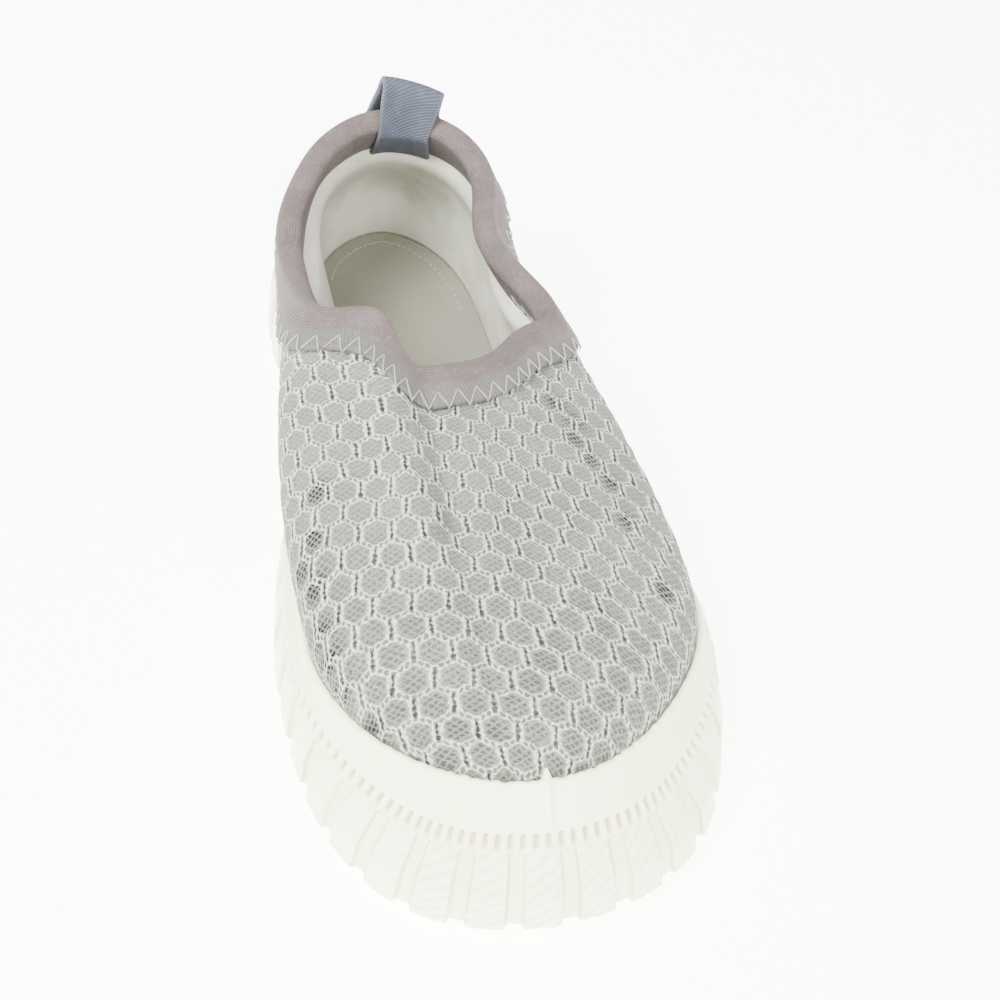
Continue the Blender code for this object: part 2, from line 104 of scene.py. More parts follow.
# The stitches: the zigzag's pitch and height and its rise on the medial side, the arc of the insole's seam as
# a share of the wall each way, its stitches and its distance from the edge, and the threads' radii.
STITCH_PITCH = 3.5
STITCH_HEIGHT = 3.4
SEAM_RISE = 2.2
INSOLE_ARC = 0.085
INSOLE_STITCHES = 38
INSOLE_SEAM_INSET = 5.5
ZIGZAG_THREAD = 0.16
INSOLE_THREAD = 0.2
LOOP_THREAD = 0.14

# The padded lining: how far down the wall it runs, just above the insole, how thick it is by the foot, how
# much more its roll adds round the heel, and how far down the roll is full.
LINING_FOOT = -0.7
LINING_THIN = 0.7
LINING_ROLL = 2.7
ROLL_REACH = 4.0

# The knit: the repeat of its honeycomb across and along, half a slit's length, the beads in a slit and the
# loops between two slits, the pitch of the net in its windows, and how far the windows lie below the yarn.
WALE = 5.1
COURSE = 8.3
SLIT = 1.35
BEAD_PITCH = 0.92
LOOP_PITCH = WALE / 6
NET = 0.86
WINDOW_DEPTH = 0.18
LOOP_SLOPE = (COURSE / 2 - 2 * SLIT) / (WALE / 2)

# How the knit lies: the turn of its columns, the slant of its rows, its repeat across at the throat and how
# that grows with the way to the toe, how much shorter its rows are at the throat and for how far, and what
# the pull of the medial side adds to the slant, the turn and the repeat.
KNIT_TURN_DEG = 13
KNIT_SKEW = 0.05
THROAT_WALE = 3.8
STRETCH = 0.034
COURSE_SHRINK = 0.15
SHRINK_REACH = 40
MEDIAL_SLANT = 0.167
SLANT_REACH = 60
MEDIAL_TURN = 0.13
TURN_REACH = 45
MEDIAL_WALE = 0.5

# The plan outline: along from the heel (0) to the toe (1), then shares of half the heel's or ball's width.
OUTLINE_COLUMNS = ("along", "medial", "lateral", "front")
OUTLINE = [
    (0.06, 0.78, 0.65, 0.0),
    (0.16, 1.037, 0.93, 0.0),
    (0.30, 1.01, 1.00, 0.0),
    (0.45, 0.78, 0.75, 1.0),
    (0.58, 0.938, 0.85, 1.0),
    (0.68, 1.00, 0.985, 1.0),
    (0.78, 0.99, 1.00, 1.0),
    (0.88, 0.892, 0.872, 1.0),
    (0.955, 0.665, 0.63, 1.0),
]
HEEL_CENTRE = 0.07
TOE_CENTRE = -0.2

# The sole's face, bottom to top: (share of the lean, height, steps passed).
SOLE_FACE = [
    (0.00, 0.0, 0),
    (0.14, 0.55 * LUG_TOP, 0),
    (0.47, LUG_TOP, 0),
    (0.47, LEDGE, 1),
    (0.62, RIB_TOP, 1),
]

# The lines up the wall, from the heel round the medial side to the toe and back: the place of the foot on the
# outline, the rim's place and height, and the handles above the rubber's edge and below the rim.
LINE_COLUMNS = ("foot", "x", "back", "heel", "instep", "rise", "flare", "side", "fore", "fall")
LINES = [
    (0.000, 0.176, 0.980, 1.00, 0.00, 12, 1.0, 0, -5, 10),
    (0.050, -0.185, 0.972, 0.98, 0.00, 12, 1.0, -2, -4, 10),
    (0.093, -0.520, 0.902, 0.85, 0.00, 12, 1.5, -3, -2, 10),
    (0.130, -0.770, 0.785, 0.67, 0.00, 12, 1.5, -2.5, -1, 10),
    (0.163, -0.965, 0.637, 0.38, 0.00, 11, 1.5, -1, 0, 9),
    (0.197, -1.005, 0.464, 0.22, 0.10, 10, 4.0, -2, 0, 9),
    (0.235, -0.965, 0.312, 0.05, 0.82, 10, 5.5, -6.5, 0, 10),
    (0.278, -0.840, 0.202, 0.00, 1.75, 10, 5.5, -11, 5, 11),
    (0.322, -0.593, 0.170, 0.00, 2.10, 10, 4.5, -13, 12, 11),
    (0.366, -0.404, 0.126, 0.00, 1.90, 9, 1.0, -10, 18, 8),
    (0.410, -0.308, 0.029, 0.00, 1.40, 10, -2.0, -7, 24, 6),
    (0.455, -0.110, -0.003, 0.00, 1.15, 11, -5.0, -3, 28, 5),
    (0.503, 0.154, 0.007, 0.00, 0.95, 11, -6.0, 0, 28, 5),
    (0.550, 0.418, 0.056, 0.00, 0.72, 11, -4.0, 4, 25, 5),
    (0.600, 0.681, 0.143, 0.00, 0.40, 11, -2.0, 7, 20, 6),
    (0.652, 0.930, 0.193, 0.00, 0.17, 10, 0.0, 7, 12, 8),
    (0.706, 0.970, 0.297, 0.00, 0.00, 10, 1.0, 5, 4, 9),
    (0.762, 0.800, 0.460, 0.00, 0.00, 11, 1.5, 4.5, 0, 9),
    (0.820, 0.740, 0.620, 0.08, 0.00, 11, 1.5, 4, 0, 9),
    (0.878, 0.805, 0.772, 0.48, 0.00, 12, 1.5, 4, -1, 10),
    (0.940, 0.590, 0.914, 0.86, 0.00, 12, 1.0, 3, -3, 10),
]

# Creases of the upper, each a soft ridge, or a trough, from one place of the plan to another: x0, y0, x1, y1,
# then its half width and its height.
CREASES = [
    (-14.4, -3.0, -13.0, -34.0, 4.2, 2.5),
    (-8.8, -2.0, -7.8, -36.0, 3.0, -1.5),
    (-12.0, -34.0, -11.0, -60.0, 4.0, 1.0),
    (-8.2, -30.0, -7.2, -62.0, 2.8, -1.0),
    (-4.2, -14.0, -2.8, -50.0, 3.0, 0.9),
    (-25.0, -14.0, -29.0, -34.0, 3.5, 0.6),
    (13.0, -16.0, 17.0, -40.0, 3.5, 0.5),
]

# Places of the plan where the knit is thin enough to show the inside, painted there as near-black shade.
THIN_PLACES = [
    (-28.1, -19.9), (-29.6, -27.0), (-31.8, -30.2), (-30.6, -34.4), (-31.1, -41.4), (-30.2, -45.6),
    (-29.4, -50.5), (-25.6, -58.4), (14.5, -9.0), (17.0, -12.4), (15.7, -16.7), (18.0, -20.3),
    (20.7, -24.3), (21.6, -32.0), (25.0, -44.1),
]


def smooth(low, high, value):
    """0 below low, 1 above high, with an S between: 3t^2 - 2t^3."""
    t = np.clip((value - low) / (high - low), 0, 1)
    return t * t * (3 - 2 * t)


def column(table, names, name):
    """One named column of a table."""
    return np.array([row[names.index(name)] for row in table], dtype=float)


def unit(vectors):
    """The same directions with length 1."""
    return vectors / np.linalg.norm(vectors, axis=-1, keepdims=True)


def run_length(points, axis=0):
    """The length run along points up to each of them, from 0."""
    steps = np.linalg.norm(np.diff(points, axis=axis), axis=-1).cumsum(axis)
    return np.concatenate([np.zeros_like(steps.take([0], axis)), steps], axis)


class ClosedCurve:
    """A smooth closed curve through knots: a cubic spline with matching curvature all round."""

    def __init__(self, knots, at=None):
        self.knots = np.asarray(knots, dtype=float)
        count = len(self.knots)
        if at is None:
            at = run_length(np.concatenate([self.knots, self.knots[:1]]))
        self.at = np.asarray(at, dtype=float)
        step = np.diff(self.at)[:, None]
        slope = (np.roll(self.knots, -1, 0) - self.knots) / step
        system = np.zeros((count, count))
        for i in range(count):
            system[i, i - 1] += step[i - 1, 0]
            system[i, i] += 2 * (step[i - 1, 0] + step[i, 0])
            system[i, (i + 1) % count] += step[i, 0]
        self.bend = np.linalg.solve(system, 6 * (slope - np.roll(slope, 1, 0)))

    def __call__(self, place):
        """Points at these places, measured as the knots' own places are."""
        span = self.at[-1] - self.at[0]
        place = (np.asarray(place, dtype=float) - self.at[0]) % span + self.at[0]
        i = np.clip(np.searchsorted(self.at, place, side="right") - 1, 0, len(self.knots) - 1)
        j = (i + 1) % len(self.knots)
        step = (self.at[i + 1] - self.at[i])[:, None]
        ahead = (self.at[i + 1] - place)[:, None]
        behind = (place - self.at[i])[:, None]
        return (
            (self.bend[i] * ahead**3 + self.bend[j] * behind**3) / (6 * step)
            + (self.knots[i] / step - self.bend[i] * step / 6) * ahead
            + (self.knots[j] / step - self.bend[j] * step / 6) * behind
        )


def even_outline():
    """The outline by share of its perimeter: the table's knots, joined smoothly and stepped evenly."""
    along, medial, lateral, front = (column(OUTLINE, OUTLINE_COLUMNS, n) for n in OUTLINE_COLUMNS)
    half = (HEEL_WIDTH + (BALL_WIDTH - HEEL_WIDTH) * front) / 2
    y = (0.5 - along) * SHOE_LENGTH
    knots = np.concatenate([
        [[HEEL_CENTRE * HEEL_WIDTH / 2, SHOE_LENGTH / 2]],
        np.stack([-medial * half, y], 1),
        [[TOE_CENTRE * BALL_WIDTH / 2, -SHOE_LENGTH / 2]],
        np.stack([lateral * half, y], 1)[::-1],
    ])
    rough = ClosedCurve(knots)
    place = np.linspace(0, rough.at[-1], 721)
    points = rough(place)
    middle = (points.min(0) + points.max(0)) / 2
    length = run_length(points)
    share = np.linspace(0, 1, 180, endpoint=False)
    even = rough(np.interp(share * length[-1], length, place)) - middle
    return ClosedCurve(even, np.r_[share, 1]), length[-1]


OUTLINE_CURVE, PERIMETER = even_outline()
LINE_CURVE = ClosedCurve(
    np.stack([column(LINES, LINE_COLUMNS, n) for n in LINE_COLUMNS], 1)
    - np.linspace(0, 1, len(LINES), endpoint=False)[:, None] * np.eye(len(LINE_COLUMNS))[0],
    np.linspace(0, 1, len(LINES) + 1),
)


def outline(share):
    """Plan points of the outline at these shares, and the direction out of it."""
    here = OUTLINE_CURVE(share)
    along = unit(OUTLINE_CURVE(share + 1e-4) - OUTLINE_CURVE(share - 1e-4))
    return here, np.stack([along[:, 1], -along[:, 0]], 1)


def spring(y):
    """How far the sole has left the floor: the toe's rise times the square of the way from the ball."""
    return TOE_SPRING * np.clip((-y / SHOE_LENGTH - 0.2) / 0.3, 0, 1) ** 2


def toe_weight(y):
    """1 over the toe, 0 behind the ball."""
    return smooth(0.22, 0.48, -y / SHOE_LENGTH)


def whole_lean(y):
    """How far in from the outline the rubber's top edge lies."""
    return SIDE_LEAN + (TOE_LEAN - SIDE_LEAN) * toe_weight(y)


def line_shape(u):
    """The table of lines, smoothed round the shoe, at these places."""
    made = LINE_CURVE(u)
    shape = {n: made[:, i] for i, n in enumerate(LINE_COLUMNS)}
    shape["foot"] = shape["foot"] + u
    return shape


def place_round(share):
    """The u whose line stands at this share of the outline."""
    u = np.linspace(-0.1, 1.1, 1201)
    return np.interp(share, line_shape(u)["foot"], u)


def handles(u):
    """The points that shape the wall's lines: two inside the cup, then four above the rubber's edge."""
    shape = line_shape(u)
    here, out = outline(shape["foot"])
    y = here[:, 1]
    lean = whole_lean(y)
    height = SIDE_EDGE_HEIGHT + (TOE_EDGE_HEIGHT - SIDE_EDGE_HEIGHT) * toe_weight(y) + spring(y)
    edge = np.column_stack([here - out * (lean + EDGE_THICKNESS + GAP)[:, None], height])
    lower = np.column_stack([edge[:, :2] + out * shape["flare"][:, None], height + shape["rise"]])
    plan = here - out * (SIDE_FOOT_INSET + (TOE_FOOT_INSET - SIDE_FOOT_INSET) * toe_weight(y))[:, None]
    base = np.column_stack([plan, FLOOR_THICKNESS + spring(plan[:, 1])])
    down = 0.5 * (height - base[:, 2]) / (lower[:, 2] - height)
    knee = edge - (lower - edge) * down[:, None]
    throat = SHOE_LENGTH / 2 - THROAT_FROM_HEEL
    rear = SHOE_LENGTH / 2 - HEEL_SETBACK
    rim = np.column_stack([
        TOPLINE_CENTRE + shape["x"] * TOPLINE_WIDTH / 2,
        throat + shape["back"] * (rear - throat),
        ANKLE_HEIGHT
        + shape["heel"] * (HEEL_HEIGHT - ANKLE_HEIGHT)
        + shape["instep"] * (INSTEP_HEIGHT - ANKLE_HEIGHT),
    ])
    upper = rim + np.column_stack([shape["side"], -shape["fore"], -shape["fall"]])
    return base, knee, edge, lower, upper, rim


def face(u, v):
    """Points of the bare wall over grids u and v: a quadratic curve inside the cup, a cubic one above it."""
    flat, back = np.unique(u, return_inverse=True)
    back = back.reshape(u.shape)
    base, knee, edge, lower, upper, rim = (h[back] for h in handles(flat))
    w = np.clip(v, -1, 0)[..., None] + 1
    inside = base * (1 - w) ** 2 + 2 * knee * w * (1 - w) + edge * w**2
    w = np.clip(v, 0, 1)[..., None]
    above = edge * (1 - w) ** 3 + 3 * lower * w * (1 - w) ** 2 + 3 * upper * w**2 * (1 - w) + rim * w**3
    return np.where(v[..., None] < 0, inside, above)


def creases(points):
    """How far the creases move the wall out here: each a bell across its line, faded at its two ends."""
    total = np.zeros(points.shape[:-1])
    for x0, y0, x1, y1, width, height in CREASES:
        line = np.array([x1 - x0, y1 - y0])
        length = np.linalg.norm(line)
        line /= length
        from_start = points[..., :2] - (x0, y0)
        along = from_start @ line
        across = from_start @ np.array([-line[1], line[0]])
        ends = smooth(-width, width, along) * (1 - smooth(length - width, length + width, along))
        total += height * ends * np.exp(-((across / width) ** 2))
    return total


def wall(u, v, offset=0.0, plain=False):
    """The wall at u and v, moved out of its face by offset, with its creases unless plain."""
    u, v = np.broadcast_arrays(np.asarray(u, float), np.asarray(v, float))
    points = face(u, v)
    round_it = face(u + 2e-3, v) - face(u - 2e-3, v)
    up_it = face(u, np.minimum(v + 2e-3, 1)) - face(u, np.maximum(v - 2e-3, -1))
    normal = unit(np.cross(round_it, up_it))
    moved = np.broadcast_to(offset, u.shape)
    if not plain:
        moved = moved + creases(points) * smooth(0.02, 0.2, v)
    return points + normal * moved[..., None]


def foot(u, height, offset):
    """The wall's foot at this height above the sole's underside, on the straight line of the cup's wall."""
    low, high = wall(u, -1, offset, True), wall(u, -0.5, offset, True)
    share = (height + spring(low[..., 1]) - low[..., 2]) / (high[..., 2] - low[..., 2])
    return low + (high - low) * share[..., None]


def down_from_rim(u, distance):
    """The v where each line has run this distance down from the rim: its length, added up and read back."""
    v = np.linspace(1, 0, 121)
    lines = face(np.broadcast_to(u[:, None], (len(u), len(v))), np.broadcast_to(v, (len(u), len(v))))
    run = run_length(lines, 1)
    return np.array([np.interp(d, row, v) for d, row in zip(np.broadcast_to(distance, len(u)), run)])


# Meshes


def quads(rows, around, closed):
    """Corner numbers of a tube's faces, joined end to end where closed, and the same on a grid laid flat."""
    r, i = np.indices((rows if closed else rows - 1, around)).reshape(2, -1)
    corners = [(r, i), (r, i + 1), (r + 1, i + 1), (r + 1, i)]
    joined = np.stack([(a % rows) * around + b % around for a, b in corners], 1)
    return joined, np.stack([a * (around + 1) + b for a, b in corners], 1)


def cap_strips(base, around):
    """A ladder of strips that closes one end of a tube, from column 0 across to the column opposite."""
    i = np.arange(around // 2)
    return base + np.stack([i, i + 1, (around - i - 1) % around, (around - i) % around], 1)


def capped(rows, around):
    """The faces of a tube with both its ends closed."""
    side, _ = quads(rows, around, False)
    return np.concatenate([side, cap_strips(0, around)[:, ::-1], cap_strips((rows - 1) * around, around)])


def volume(points, faces):
    """The volume inside quads: cones to the origin, a third of a triple product each."""
    a, b, c, d = (points[faces[:, k]] for k in range(4))
    return np.sum(a * (np.cross(b, c) + np.cross(c, d))) / 6


def placed(name, data):
    """A new object of the scene that shows this data."""
    made = bpy.data.objects.new(name, data)
    bpy.context.scene.collection.objects.link(made)
    return made


def piece(name, points, faces, finish, uv=None, fields=None):
    """An object from points in millimetres and quads, its faces looking out of the closed shape."""
    faces = np.asarray(faces)
    if volume(points, faces) < 0:
        faces = faces[:, ::-1]
        uv = None if uv is None else uv[:, ::-1]
    keep = faces != faces[:, [1, 2, 3, 0]]
    counts = keep.sum(1)
    loops = faces[keep]
    mesh = bpy.data.meshes.new(name)
    mesh.vertices.add(len(points))
    mesh.vertices.foreach_set("co", (points * 0.001).astype(np.float32).ravel())
    mesh.loops.add(len(loops))
    mesh.loops.foreach_set("vertex_index", loops.astype(np.int32))
    mesh.polygons.add(len(faces))
    mesh.polygons.foreach_set("loop_start", np.r_[0, np.cumsum(counts)[:-1]].astype(np.int32))
    mesh.polygons.foreach_set("loop_total", counts.astype(np.int32))
    if uv is not None:
        layer = mesh.uv_layers.new(name="cloth")
        layer.data.foreach_set("uv", uv[keep].astype(np.float32).ravel())
    for field, values in (fields or {}).items():
        attribute = mesh.attributes.new(field, "FLOAT", "POINT")
        attribute.data.foreach_set("value", values.astype(np.float32).ravel())
    mesh.update(calc_edges=True)
    mesh.validate()
    mesh.polygons.foreach_set("use_smooth", np.ones(len(faces), bool))
    mesh.materials.append(finish)
    made = placed(name, mesh)
    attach(made, "root")
    return made


def ring_piece(name, grid, finish, closed=True, uv=None, fields=None):
    """A piece from rings round the shoe: a tube joined end to end, or one closed by two caps."""
    rows, around = grid.shape[:2]
    faces, plain = quads(rows, around, closed)
    loops = None
    if uv is not None:
        flat = np.concatenate([uv, uv[:1]]).reshape(-1, 2) if closed else uv.reshape(-1, 2)
        loops = flat[plain]
    if not closed:
        faces = capped(rows, around)
        if loops is not None:
            loops = np.concatenate([loops, np.zeros((len(faces) - len(loops), 4, 2))])
    return piece(name, grid.reshape(-1, 3), faces, finish, loops, fields)


def tubes(name, paths, radius, finish, sides=6):
    """Threads: round tubes of this radius along paths of equal length, closed at both ends to a point."""
    paths = np.asarray(paths, float)
    run = unit(np.gradient(paths, axis=1))
    helper = np.where(np.abs(run[..., 2:]) < 0.9, [[[0.0, 0.0, 1.0]]], [[[1.0, 0.0, 0.0]]])
    side = unit(np.cross(run, helper))
    lift = np.cross(side, run)
    count, length = paths.shape[:2]
    size = np.full(length, radius)
    size[[0, -1]] = radius * 0.25
    turn = np.arange(sides) * 2 * math.pi / sides
    grid = (
        paths[:, :, None]
        + side[:, :, None] * (np.cos(turn)[:, None] * size[:, None, None])
        + lift[:, :, None] * (np.sin(turn)[:, None] * size[:, None, None])
    )
    faces = (capped(length, sides) + (np.arange(count) * length * sides)[:, None, None]).reshape(-1, 4)
    return piece(name, grid.reshape(-1, 3), faces, finish)


# Shader maths


def maths(operation):
    """A method that adds one Math node."""

    def method(self, *others):
        return self.finish.node("ShaderNodeMath", {"operation": operation}, dict(enumerate([self, *others])))

    return method


class Value:
    """A shader socket that Python can work with: an expression adds Math nodes."""

    def __init__(self, finish, socket):
        self.finish = finish
        self.socket = socket

    __add__ = __radd__ = maths("ADD")
    __mul__ = __rmul__ = maths("MULTIPLY")
    __sub__ = maths("SUBTRACT")
    __truediv__ = maths("DIVIDE")
    __abs__ = maths("ABSOLUTE")
    below = maths("LESS_THAN")
    lowest = maths("MINIMUM")
    highest = maths("MAXIMUM")
    sine = maths("SINE")
    root = maths("SQRT")
    fraction = maths("FRACT")

    def __rsub__(self, other):
        return self * -1 + other

    def repeat(self, period):
        """The distance from the nearest multiple of period, with its sign."""
        return ((self / period + 0.5).fraction() - 0.5) * period

    def rises(self, low, high, start=0.0, end=1.0):
        """0 below low, 1 above high, smooth between."""
        inputs = dict(enumerate([self, low, high, start, end]))
        return self.finish.node("ShaderNodeMapRange", {"interpolation_type": "SMOOTHSTEP"}, inputs)

    def falls(self, low, high):
        """1 below low, 0 above high, smooth between."""
        return self.rises(low, high, 1.0, 0.0)


class Finish:
    """A material in the making."""

    def __init__(self, name, colour, roughness, gloss=0.2, nap=0.05, **constants):
        self.material = bpy.data.materials.new(name)
        self.material.use_nodes = True
        self.nodes = self.material.node_tree.nodes
        self.links = self.material.node_tree.links
        self.shader = self.nodes["Principled BSDF"]
        self.set(Base_Color=colour, Roughness=roughness, Specular_IOR_Level=gloss, Sheen_Weight=nap)
        self.set(**constants)

    def node(self, kind, settings=None, inputs=None, output=0):
        """One node: its settings first, then the values or links of its sockets."""
        made = self.nodes.new(kind)
        for name, value in (settings or {}).items():
            setattr(made, name, value)
        for name, value in (inputs or {}).items():
            self.give(made.inputs[name], value)
        return Value(self, made.outputs[output])

    def give(self, socket, value):
        """Links a Value to a socket, or sets a number, colour or vector on it."""
        if isinstance(value, Value):
            self.links.new(value.socket, socket)
        elif isinstance(value, tuple) and len(value) == 3 and socket.type == "RGBA":
            socket.default_value = (*value, 1)
        else:
            socket.default_value = value

    def set(self, **values):
        """Feeds the surface's own sockets."""
        for name, value in values.items():
            self.give(self.shader.inputs[name.replace("_", " ")], value)

    def split(self, vector):
        """The three numbers of a vector."""
        made = self.node("ShaderNodeSeparateXYZ", None, {0: vector})
        return [Value(self, made.socket.node.outputs[k]) for k in range(3)]

    def here(self):
        """The place on the object, in metres."""
        return self.node("ShaderNodeTexCoord", output="Object")

    def cloth(self):
        """The place on the cloth, across and along, in millimetres."""
        return self.split(self.node("ShaderNodeUVMap", {"uv_map": "cloth"}))[:2]

    def field(self, name):
        """A number that the mesh carries."""
        return self.node("ShaderNodeAttribute", {"attribute_name": name}, output="Fac")

    def noise(self, size, detail=2.0, roughness=0.5, output=0):
        """Clouds of this size in millimetres, about 0 to 1."""
        settings = {"Vector": self.here(), "Scale": 1000 / size, "Detail": detail, "Roughness": roughness}
        return self.node("ShaderNodeTexNoise", None, settings, output)

    def mix(self, factor, first, second):
        """The first colour where factor is 0, the second where it is 1."""
        return self.node("ShaderNodeMix", {"data_type": "RGBA"}, {0: factor, 6: first, 7: second}, 2)

    def done(self, colour, height, distance, strength, **more):
        """The material, with its colour and a relief of this many millimetres where height is 1."""
        relief = {"Strength": strength, "Distance": distance * 0.001, "Height": height}
        self.set(Base_Color=colour, Normal=self.node("ShaderNodeBump", None, relief), **more)
        return self.material


def knit_finish():
    """A honeycomb knit. Folded into one half cell, s is the distance across from a slit's middle line, down
    the one along it, and n the one from the row of small loops that joins the slit's end to the next slit."""
    made = Finish("grey_mesh_fabric", (0.2, 0.205, 0.19), 0.85)
    across, along = made.cloth()
    slow_x, slow_y, _ = made.split(made.noise(11, 1, output=1))
    quick_x, quick_y, _ = made.split(made.noise(1.1, 2, output=1))
    across = across + slow_x * 1.6 + quick_x * 0.75 - 1.18
    along = along + slow_y * 1.6 + quick_y * 0.75 - 1.18
    x = abs(across.repeat(WALE))
    y = abs(along.repeat(COURSE))
    n = (y - SLIT - x * LOOP_SLOPE) / math.hypot(1, LOOP_SLOPE)
    low = n.below(0)
    high = 1 - low
    s = x * low + (WALE / 2 - x) * high
    down = along.repeat(COURSE) * low + (along + COURSE / 2).repeat(COURSE) * high
    t = abs(down)
    apart = abs(n)

    # Each slit is three dark beads in a row, the lowest one rounder, between two chains of pale yarn.
    in_slit = t.falls(SLIT - 0.05, SLIT + 0.2)
    bead_size = down.rises(0.4, 0.6) * 0.09 + 0.2
    bead_along = down.repeat(BEAD_PITCH) * 0.6
    bead = ((s * s + bead_along * bead_along).root() / bead_size).falls(0.7, 1.5)
    dark = bead.highest(s.falls(0.05, 0.22) * 0.7) * in_slit
    wave = (down * (2 * math.pi / BEAD_PITCH) + math.pi / 2).sine() * 0.09
    chain = abs(s - 0.5 - wave).falls(0.06, 0.36)
    margin = s.falls(0.75, 1.4) * t.falls(SLIT, SLIT + 0.5)

    # A row of small loops, each a ring about a dark eye, joins every slit's end to the next.
    loop_along = x.repeat(LOOP_PITCH)
    from_loop = (loop_along * loop_along + apart * apart).root()
    ring = abs(from_loop - 0.45).falls(0.05, 0.24)
    eye = from_loop.falls(0.16, 0.42)
    band = apart.falls(0.4, 1.0)

    # The windows between hold a net of two families of fine lines.
    rising = abs((along * 0.79 - across * 0.61).repeat(NET)).falls(0.04, 0.24)
    falling = abs((along * 0.79 + across * 0.61).repeat(NET)).falls(0.04, 0.24)
    net = rising.highest(falling * 0.95)
    pale = margin.highest(band)
    yarn = (chain * margin).highest(ring * band)
    see_through_shade = made.field("see_through_shade")
    clouds = made.noise(9, 1)
    fluff = made.noise(0.5, 3, 0.7)
    near_throat = along.falls(-12, 45) * 0.5

    # Painted shade: the shadowed inside of the shoe, near black, where it shows through the knit.
    inside_shade = (0.003, 0.003, 0.003)
    colour = made.mix(see_through_shade, (0.035, 0.039, 0.031), inside_shade)
    colour = made.mix(net * (1 - see_through_shade * 0.5), colour, (0.118, 0.127, 0.105))
    pale_yarn = pale.highest(near_throat) * (fluff * 0.9 + 0.45).lowest(1)
    colour = made.mix(pale_yarn, colour, (0.150, 0.161, 0.134))
    colour = made.mix(yarn * (fluff.rises(0.32, 0.62) * 0.85 + 0.15), colour, (0.45, 0.476, 0.40))
    colour = made.mix(eye * (clouds.rises(0.3, 0.6) * 0.35 + 0.4), colour, (0.034, 0.037, 0.030))
    colour = made.mix(dark, colour, (0.012, 0.013, 0.010))
    colour = made.mix(fluff.rises(0.35, 0.8) * clouds.rises(0.3, 0.7) * 0.35, colour, (0.36, 0.38, 0.32))
    # More painted shade of the inside at the see-through spots, between the net and the yarn.
    colour = made.mix((see_through_shade * 1.6).lowest(1) * (1 - net) * (1 - yarn), colour, inside_shade)
    relief = pale * 0.5 + yarn * 0.4 + net * 0.3 - dark * 0.5 - eye * 0.3 + fluff * 0.3
    return made.done(colour, relief, 0.4, 0.9)


def rubber_finish():
    """Smooth cream rubber: faint mould clouds, a fine orange-peel gloss, grooves on the toe's lugs, and
    painted shade in the grooves, the lug gaps and the rib slots.
    """
    made = Finish("cream_rubber", (0.82, 0.81, 0.56), 0.42, 0.35, 0.0)
    clouds = made.noise(14, 2)
    groove = made.field("groove")
    along = made.field("groove_at")
    lines = abs(along.repeat(1.7)).falls(0.12, 0.42) * groove
    colour = made.mix(clouds.rises(0.3, 0.7) * 0.5, (0.81, 0.805, 0.54), (0.76, 0.75, 0.47))
    # Painted shade: the lug gaps, their edges and the rib slots are darkened.
    colour = made.mix(made.field("recess_shade"), colour, (0.26, 0.26, 0.14))
    # Painted shade in the fine grooves on the toe's lugs; the grooves' own shape is the bump below.
    colour = made.mix(lines * 0.3, colour, (0.42, 0.41, 0.24))
    relief = made.noise(0.9, 2) * 0.12 - lines * 0.6
    return made.done(colour, relief, 0.2, 0.8, Roughness=clouds * 0.12 + 0.38)


def elastic_finish():
    """Lilac-grey elastic: fine ribs along it, and a greyer band with ribs across under the stitches."""
    made = Finish("lilac_grey_elastic", (0.08, 0.064, 0.06), 0.8)
    across, along = made.cloth()
    stitched = made.field("stitched")
    ribs_long = abs(across.repeat(0.5)).falls(0.02, 0.22)
    ribs_cross = abs((along + across * 0.35).repeat(0.6)).falls(0.04, 0.28)
    ribs = ribs_long * (1 - stitched) + ribs_cross * stitched
    clouds = made.noise(6, 2)
    weave = made.noise(0.8, 3, 0.7)
    base = made.mix(stitched, (0.078, 0.060, 0.056), (0.080, 0.080, 0.068))
    colour = made.mix(ribs * (0.15 + weave * 0.4), base, (0.034, 0.028, 0.026))
    colour = made.mix(clouds.rises(0.35, 0.7) * 0.4, colour, (0.112, 0.093, 0.088))
    colour = made.mix(weave.rises(0.45, 0.75) * 0.3, colour, (0.165, 0.146, 0.137))
    return made.done(colour, weave * 0.8 - ribs * 0.7, 0.12, 0.8)


def lining_finish():
    """Cream brushed lining: soft clouds of nap over a fine pile."""
    made = Finish("cream_lining", (0.48, 0.47, 0.39), 0.95, 0.1)
    clouds = made.noise(8, 3)
    pile = made.noise(0.6, 3, 0.7)
    colour = made.mix(clouds.rises(0.3, 0.7), (0.38, 0.37, 0.295), (0.47, 0.47, 0.39))
    colour = made.mix(pile.rises(0.4, 0.7) * 0.25, colour, (0.50, 0.50, 0.43))
    return made.done(colour, pile * 0.6 + clouds * 0.8, 0.3, 0.7)


def insole_finish():
    """Grey-beige insole cloth: a fine plain weave with a little wear."""
    made = Finish("pale_insole_foam", (0.165, 0.158, 0.125), 0.9, 0.15)
    x, y, _ = made.split(made.here())
    warp = abs((x * 1000).repeat(0.6)).falls(0.05, 0.28)
    weft = abs((y * 1000).repeat(0.6)).falls(0.05, 0.28)
    clouds = made.noise(16, 3)
    colour = made.mix(clouds.rises(0.3, 0.7), (0.176, 0.173, 0.130), (0.196, 0.195, 0.149))
    colour = made.mix(warp.highest(weft) * 0.25, colour, (0.12, 0.116, 0.086))
    return made.done(colour, 1 - warp.highest(weft) + clouds * 0.5, 0.1, 0.6)


